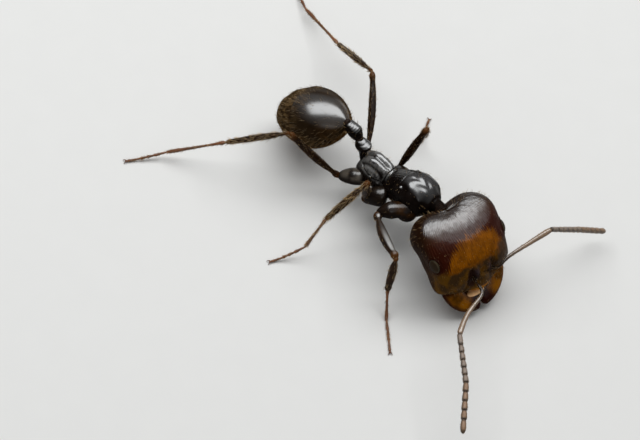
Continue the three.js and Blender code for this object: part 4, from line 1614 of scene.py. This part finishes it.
def toe_path(start, end, rows=120):
    """From the foot's first joint down to the floor: the height falls as a power of what is left to go."""
    share = np.linspace(0, 1, rows)
    path = start + (end - start) * share[:, None]
    path[:, 2] = TOE_LEVEL + (max(start[2], TOE_START) - TOE_LEVEL) * (1 - share) ** 1.5
    return path


def toe_skins(start, end):
    """Short clubs, each wider along a power of its share, two hooked claws and the pad between them."""
    path = toe_path(start, end)
    share = np.linspace(0, 1, len(path))
    skins = []
    for low, high in zip(TOE_CUTS[:-1], TOE_CUTS[1:]):
        way = np.linspace(0, 1, 30)
        last = high == 1
        reach = low + (high - low) * way * (1.0 if last else 1.04)
        spots = np.stack([np.interp(reach, share, path[:, i]) for i in range(3)], axis=-1)
        swell = (0.034 + (0.018 if last else 0.03) * way**1.4) * np.sqrt(np.clip(1 - way**16 * 0.9, 0.02, 1))
        skins.append(tube(spots, swell, 16))
    heading = unit(path[-1] - path[-8])
    heading[2] = 0
    heading, level = unit(heading), np.array((0, 0, 1.0))
    across = np.cross(level, heading)
    way = np.linspace(0, 1, 26)[:, None]
    drop = TOE_LEVEL - CLAW_LEVEL
    for _, sign in SIDES:
        bend = across * sign * (0.13 * way - 0.05 * way**2) + heading * (0.2 * way - 0.05 * way**3)
        claw = path[-1] + bend + level * (0.02 * np.sin(way * math.pi) - drop * way**2.2)
        skins.append(tube(claw, 0.021 * (1 - way[:, 0]) ** 0.6 + 0.003, 10))
    pad = aimed(path[-1] + heading * 0.03, path[-1] + heading)
    skins.append(Skin(egg((0.07, 0.034, 0.03), 18, 18), pad))
    return skins


def spur(start, ahead, length, thick):
    """A thin spike that bends down and back, as a parabola, and thins as a power of what is left."""
    way = np.linspace(0, 1, 24)[:, None]
    sag = np.array((0, 0, -1.0)) * length * 0.3 * way * (1.2 - way)
    return tube(start + unit(ahead) * length * way + sag, thick * (1 - way[:, 0]) ** 0.7 + 0.003, 10)


def leg_skins(pair, side, sign):
    """The skins of each of a leg's parts, from the hip to the toes."""
    hip, trochanter, knee, ankle, heel, toe = leg_joints(pair, side, sign)
    stout = LEG_STOUTNESS[pair]
    rise = np.array((0, 0, COXA_RISE[pair]))
    bow = unit(np.cross(knee - trochanter, (0, 0, 1))) * LEG_BOW[pair] * -sign
    tibia = rod(knee, ankle, LEG_RADII["tibia"], stout, rows=110, tall=0.94)
    shank = spur(ankle + (knee - ankle) * 0.04, heel - ankle, 0.34 if pair == "fore" else 0.24, 0.028)
    return {
        "coxa": [rod(hip, trochanter, COXA_RADII[pair], COXA_SIZE[pair], rise, rows=80, columns=44)],
        "femur": [rod(trochanter, knee, LEG_RADII["femur"], stout, bow, rows=130, columns=30, tall=1.08)],
        "tibia": [tibia, shank],
        "basitarsus": [rod(ankle, heel, LEG_RADII["basitarsus"], rows=70, columns=20)],
        "tarsus": toe_skins(heel, toe),
    }


class ANT_OT_legs(Operator):
    """Make the six legs, in five parts each"""

    bl_idname = "ant.legs"
    bl_label = "Legs"

    def execute(self, _context):
        for pair in LEG_PAIRS:
            shank = finish(leg_finish, pair)
            looks = {
                "coxa": (finish(hip_finish, pair), "black_shell"),
                "femur": (shank, "brown_shell"),
                "tibia": (shank, "brown_shell"),
                "basitarsus": (finish(foot_finish), "foot_shell"),
                "tarsus": (finish(foot_finish), "foot_shell"),
            }
            for side, sign in SIDES:
                for part, skins in leg_skins(pair, side, sign).items():
                    node = "_".join((pair, part, side))
                    dress(node + "_shell", skins, *looks[part], [node])
                    if part == "tarsus":
                        for toe, skin in enumerate(skins[:TOE_COUNT]):
                            SKINS["_".join(("toe", str(toe), pair, side))] = skin
                    else:
                        SKINS["_".join((part, pair, side))] = skins[0]
        return {"FINISHED"}


# ------------------------------------------------------------------ the hairs on each part


def seed_of(name):
    """A seed of its own for each skin: its letters' numbers, each times its place in the name."""
    return sum(ord(letter) * (place + 1) for place, letter in enumerate(name)) + 7


def hairs(name, count, length, lean, **more):
    """Hairs on a named skin."""
    return plant(SKINS[name], round(count * sculpture().hairiness), length, lean, seed_of(name), **more)


def zone(*limits):
    """How many hairs to keep over a skin: the product of smooth steps, each along forward, aside (to
    either side) or up."""

    def share(own):
        kept = 1
        for axis, low, high in limits:
            along = np.abs(own[..., axis]) if axis == ASIDE else own[..., axis]
            kept = kept * step(along, low, high)
        return kept

    return share


def gaster_share(own):
    """Most hairs behind and below, few on top."""
    return step(own[..., FORWARD], 1.0, 1.9) + step(own[..., UP], 0.5, 0.1) + 0.1


def hair_sizes():
    """The lengths of a body hair and of down, in millimetres."""
    return sculpture().hair_length / MM, sculpture().down_length / MM


class ANT_OT_head_coat(Operator):
    """Plant the hairs of the head and the jaws"""

    bl_idname = "ant.head_coat"
    bl_label = "Head hairs"

    def execute(self, _context):
        size, _ = hair_sizes()
        head = SKINS["head"]
        plantings = [
            hairs("head", 150, size, 20, where=zone((FORWARD, -0.9, -1.35), (UP, -0.6, 0.1))),
            plant(head, 80, size * 0.6, 35, seed=12, width=0.005, where=zone((ASIDE, 1.0, 1.5))),
            plant(head, 420, size * 0.24, 48, seed=13, width=0.005, where=zone((UP, -0.1, 0.3))),
            plant(head, 160, size, 25, seed=14, where=zone((UP, 0.0, -0.3))),
            plant(head, 60, size * 1.1, 45, seed=15, where=zone((FORWARD, 1.2, 1.4))),
        ]
        look = finish(hair_finish, "head_hair")
        coat("head_hairs", plantings, look)
        jaws = [hairs("jaw_" + side, 60, size * 0.7, 55) for side, _ in SIDES]
        coat("jaw_hairs", jaws, look)
        return {"FINISHED"}


class ANT_OT_trunk_coat(Operator):
    """Plant the hairs of the trunk and the waist"""

    bl_idname = "ant.trunk_coat"
    bl_label = "Trunk hairs"

    def execute(self, _context):
        size, _ = hair_sizes()
        counts = {"pronotum": 80, "mesothorax": 30, "propodeum": 60}
        upper = zone((UP, -0.3, 0.2))
        look = finish(hair_finish, "trunk_hair")
        plantings = []
        for name, count in counts.items():
            plantings.append(hairs(name, count, size, 20, where=upper, width=0.0065))
        coat("trunk_hairs", plantings, look)
        knots = [hairs("petiole", 46, size, 25), hairs("postpetiole", 56, size, 30)]
        coat("waist_hairs", knots, look)
        return {"FINISHED"}


class ANT_OT_gaster_coat(Operator):
    """Plant the hairs of the gaster"""

    bl_idname = "ant.gaster_coat"
    bl_label = "Gaster hairs"

    def execute(self, _context):
        size, _ = hair_sizes()
        plantings = []
        for number, count in enumerate((520, 230, 200, 120)):
            plantings.append(hairs("gaster_" + str(number + 1), count, size, 58, where=gaster_share))
        coat("gaster_hairs", plantings, finish(hair_finish, "gaster_hair", 0.6))
        return {"FINISHED"}


LEG_HAIRS = (  # part, how many, and their length (as a share of the down's), lean and width
    ("femur", 260, 1.2, 64, 0.01),
    ("tibia", 420, 1.7, 66, 0.0125),
    ("basitarsus", 260, 1.1, 60, 0.009),
)


class ANT_OT_leg_coats(Operator):
    """Plant the hairs of the legs"""

    bl_idname = "ant.leg_coats"
    bl_label = "Leg hairs"

    def execute(self, _context):
        _, down = hair_sizes()
        for pair in LEG_PAIRS:
            for side, _ in SIDES:
                name = "_" + pair + "_" + side
                plantings = [hairs("coxa" + name, 24, down * 1.3, 35, width=0.0065)]
                for part, count, length, lean, width in LEG_HAIRS:
                    count = round(count * LEG_DOWN[pair])
                    plantings.append(hairs(part + name, count, down * length, lean, width=width))
                for toe in range(TOE_COUNT):
                    plantings.append(hairs("toe_" + str(toe) + name, 60, down * 0.7, 50, width=0.007))
                coat("leg_hairs" + name, plantings, finish(hair_finish, "leg_hair"))
        return {"FINISHED"}


class ANT_OT_feeler_coats(Operator):
    """Plant the down of the feelers"""

    bl_idname = "ant.feeler_coats"
    bl_label = "Feeler hairs"

    def execute(self, _context):
        _, down = hair_sizes()
        count = round(120 * sculpture().hairiness)
        for side, _ in SIDES:
            plantings = [hairs("scape_" + side, 420, down * 0.62, 58, width=0.006)]
            for part in FUNICULUS_JOINTS:
                for number, bead in enumerate(SKINS["funiculus_" + part + "_" + side]):
                    plantings.append(plant(bead, count, down * 0.55, 58, seed=number + 31, width=0.006))
            look = finish(hair_finish, "feeler_hair", 0.9)
            coat("feeler_hairs_" + side, plantings, look)
        return {"FINISHED"}


# ------------------------------------------------------------------ stage


FLOOR_REACH = 1.5
LAMPS = {  # metres and degrees
    "overhead": {"size": (0.25, 0.13), "at": (0.035, 0.05, 0.145), "target": (0.035, 0.05, 0), "spin": -40},
    "side": {"size": (0.12, 0.12), "at": (-0.16, -0.1, 0.1), "target": (0, 0, 0), "spin": 0},
}
LAMP_TONE = (0.97, 0.99, 1.0)
AIR_TONE = (0.97, 0.985, 1.0, 1)


def placed(name, data, at, turn):
    """An object of the stage, at a place and with a turn."""
    made = bpy.data.objects.new(name, data)
    bpy.context.scene.collection.objects.link(made)
    made.matrix_world = Matrix.Translation(at) @ turn.to_4x4()
    return made


def lamp(name, power):
    """A soft oblong lamp, aimed at its target and spun about its own beam."""
    setting = LAMPS[name]
    light = bpy.data.lights.new(name + "_lamp", "AREA")
    light.shape = "RECTANGLE"
    light.size, light.size_y = setting["size"]
    light.energy = power
    light.color = LAMP_TONE
    aim = (Vector(setting["target"]) - Vector(setting["at"])).to_track_quat("-Z", "Y").to_matrix()
    spin = Matrix.Rotation(math.radians(setting["spin"]), 3, "Z")
    placed(light.name, light, setting["at"], aim @ spin)


def squared(back, right):
    """Right, up and back directions at right angles, from back and a rough right."""
    right = unit(right - back * (right @ back))
    return right, np.cross(back, right), back


def camera_at_view():
    """The camera stands off from the build's own centre, and is turned so that the centre lands where it
    should on the sensor: its axis is the way to the centre, one lens long, less the centre's offset."""
    right, up, towards = squared(unit(np.array(VIEW["towards"])), np.array(VIEW["right"]))
    across, above = VIEW["centre"]
    ray = -towards * VIEW["lens"] - right * across - up * above
    data = bpy.data.cameras.new("studio_camera")
    data.sensor_width = VIEW["sensor"]
    data.lens = VIEW["lens"]
    data.clip_start, data.clip_end = VIEW["clip"]
    spot = (GROUND.spot + towards * VIEW["distance"]) * MM
    turn = Matrix(np.stack(squared(-unit(ray), right), axis=-1).tolist())
    bpy.context.scene.camera = placed("studio_camera", data, spot, turn)


class ANT_OT_stage(Operator):
    """Make the floor, the lamps, the air and the camera"""

    bl_idname = "ant.stage"
    bl_label = "Floor, lamps and camera"

    def execute(self, context):
        stage = context.scene.ant_stage
        mesh = bpy.data.meshes.new("studio_floor")
        corners = [(x * FLOOR_REACH, y * FLOOR_REACH, 0) for x, y in ((-1, -1), (1, -1), (1, 1), (-1, 1))]
        mesh.from_pydata(corners, [], [(0, 1, 2, 3)])
        mesh.materials.append(finish(floor_finish))
        placed("studio_floor", mesh, (0, 0, 0), Matrix.Identity(3))
        lamp("overhead", stage.overhead)
        lamp("side", stage.side)
        world = bpy.data.worlds.new("studio_air")
        context.scene.world = world
        world.use_nodes = True
        backdrop = world.node_tree.nodes["Background"]
        backdrop.inputs["Color"].default_value = AIR_TONE
        backdrop.inputs["Strength"].default_value = stage.sky
        context.scene.view_settings.view_transform = "Standard"
        camera_at_view()
        return {"FINISHED"}


# ------------------------------------------------------------------ the sidebar


OPERATORS = (
    ANT_OT_stage,
    ANT_OT_head,
    ANT_OT_eyes,
    ANT_OT_jaws,
    ANT_OT_mouth,
    ANT_OT_feelers,
    ANT_OT_trunk,
    ANT_OT_neck,
    ANT_OT_waist,
    ANT_OT_gaster,
    ANT_OT_legs,
    ANT_OT_head_coat,
    ANT_OT_trunk_coat,
    ANT_OT_gaster_coat,
    ANT_OT_leg_coats,
    ANT_OT_feeler_coats,
)


class VIEW3D_PT_ant(Panel):
    """The ant's sizes, colours and stage, and a button for each of its parts"""

    bl_label = "Ant"
    bl_space_type = "VIEW_3D"
    bl_region_type = "UI"
    bl_category = "Ant"

    def draw(self, context):
        for name, group in GROUPS.items():
            for setting in group.__annotations__:
                self.layout.prop(getattr(context.scene, name), setting)
        for operator in OPERATORS:
            self.layout.operator(operator.bl_idname)


GROUPS = {"ant_sculpture": AntSculpture, "ant_colours": AntColours, "ant_stage": AntStage}
CLASSES = (*GROUPS.values(), *OPERATORS, VIEW3D_PT_ant)


def register():
    """Registers the classes and gives every scene the settings."""
    for cls in CLASSES:
        bpy.utils.register_class(cls)
    for name, group in GROUPS.items():
        setattr(bpy.types.Scene, name, PointerProperty(type=group))


def unregister():
    """Takes back what register gave."""
    for name in GROUPS:
        delattr(bpy.types.Scene, name)
    for cls in reversed(CLASSES):
        bpy.utils.unregister_class(cls)


def main():
    """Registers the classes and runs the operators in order."""
    register()
    for operator in OPERATORS:
        namespace, name = operator.bl_idname.split(".")
        getattr(getattr(bpy.ops, namespace), name)()


if __name__ == "__main__":
    main()
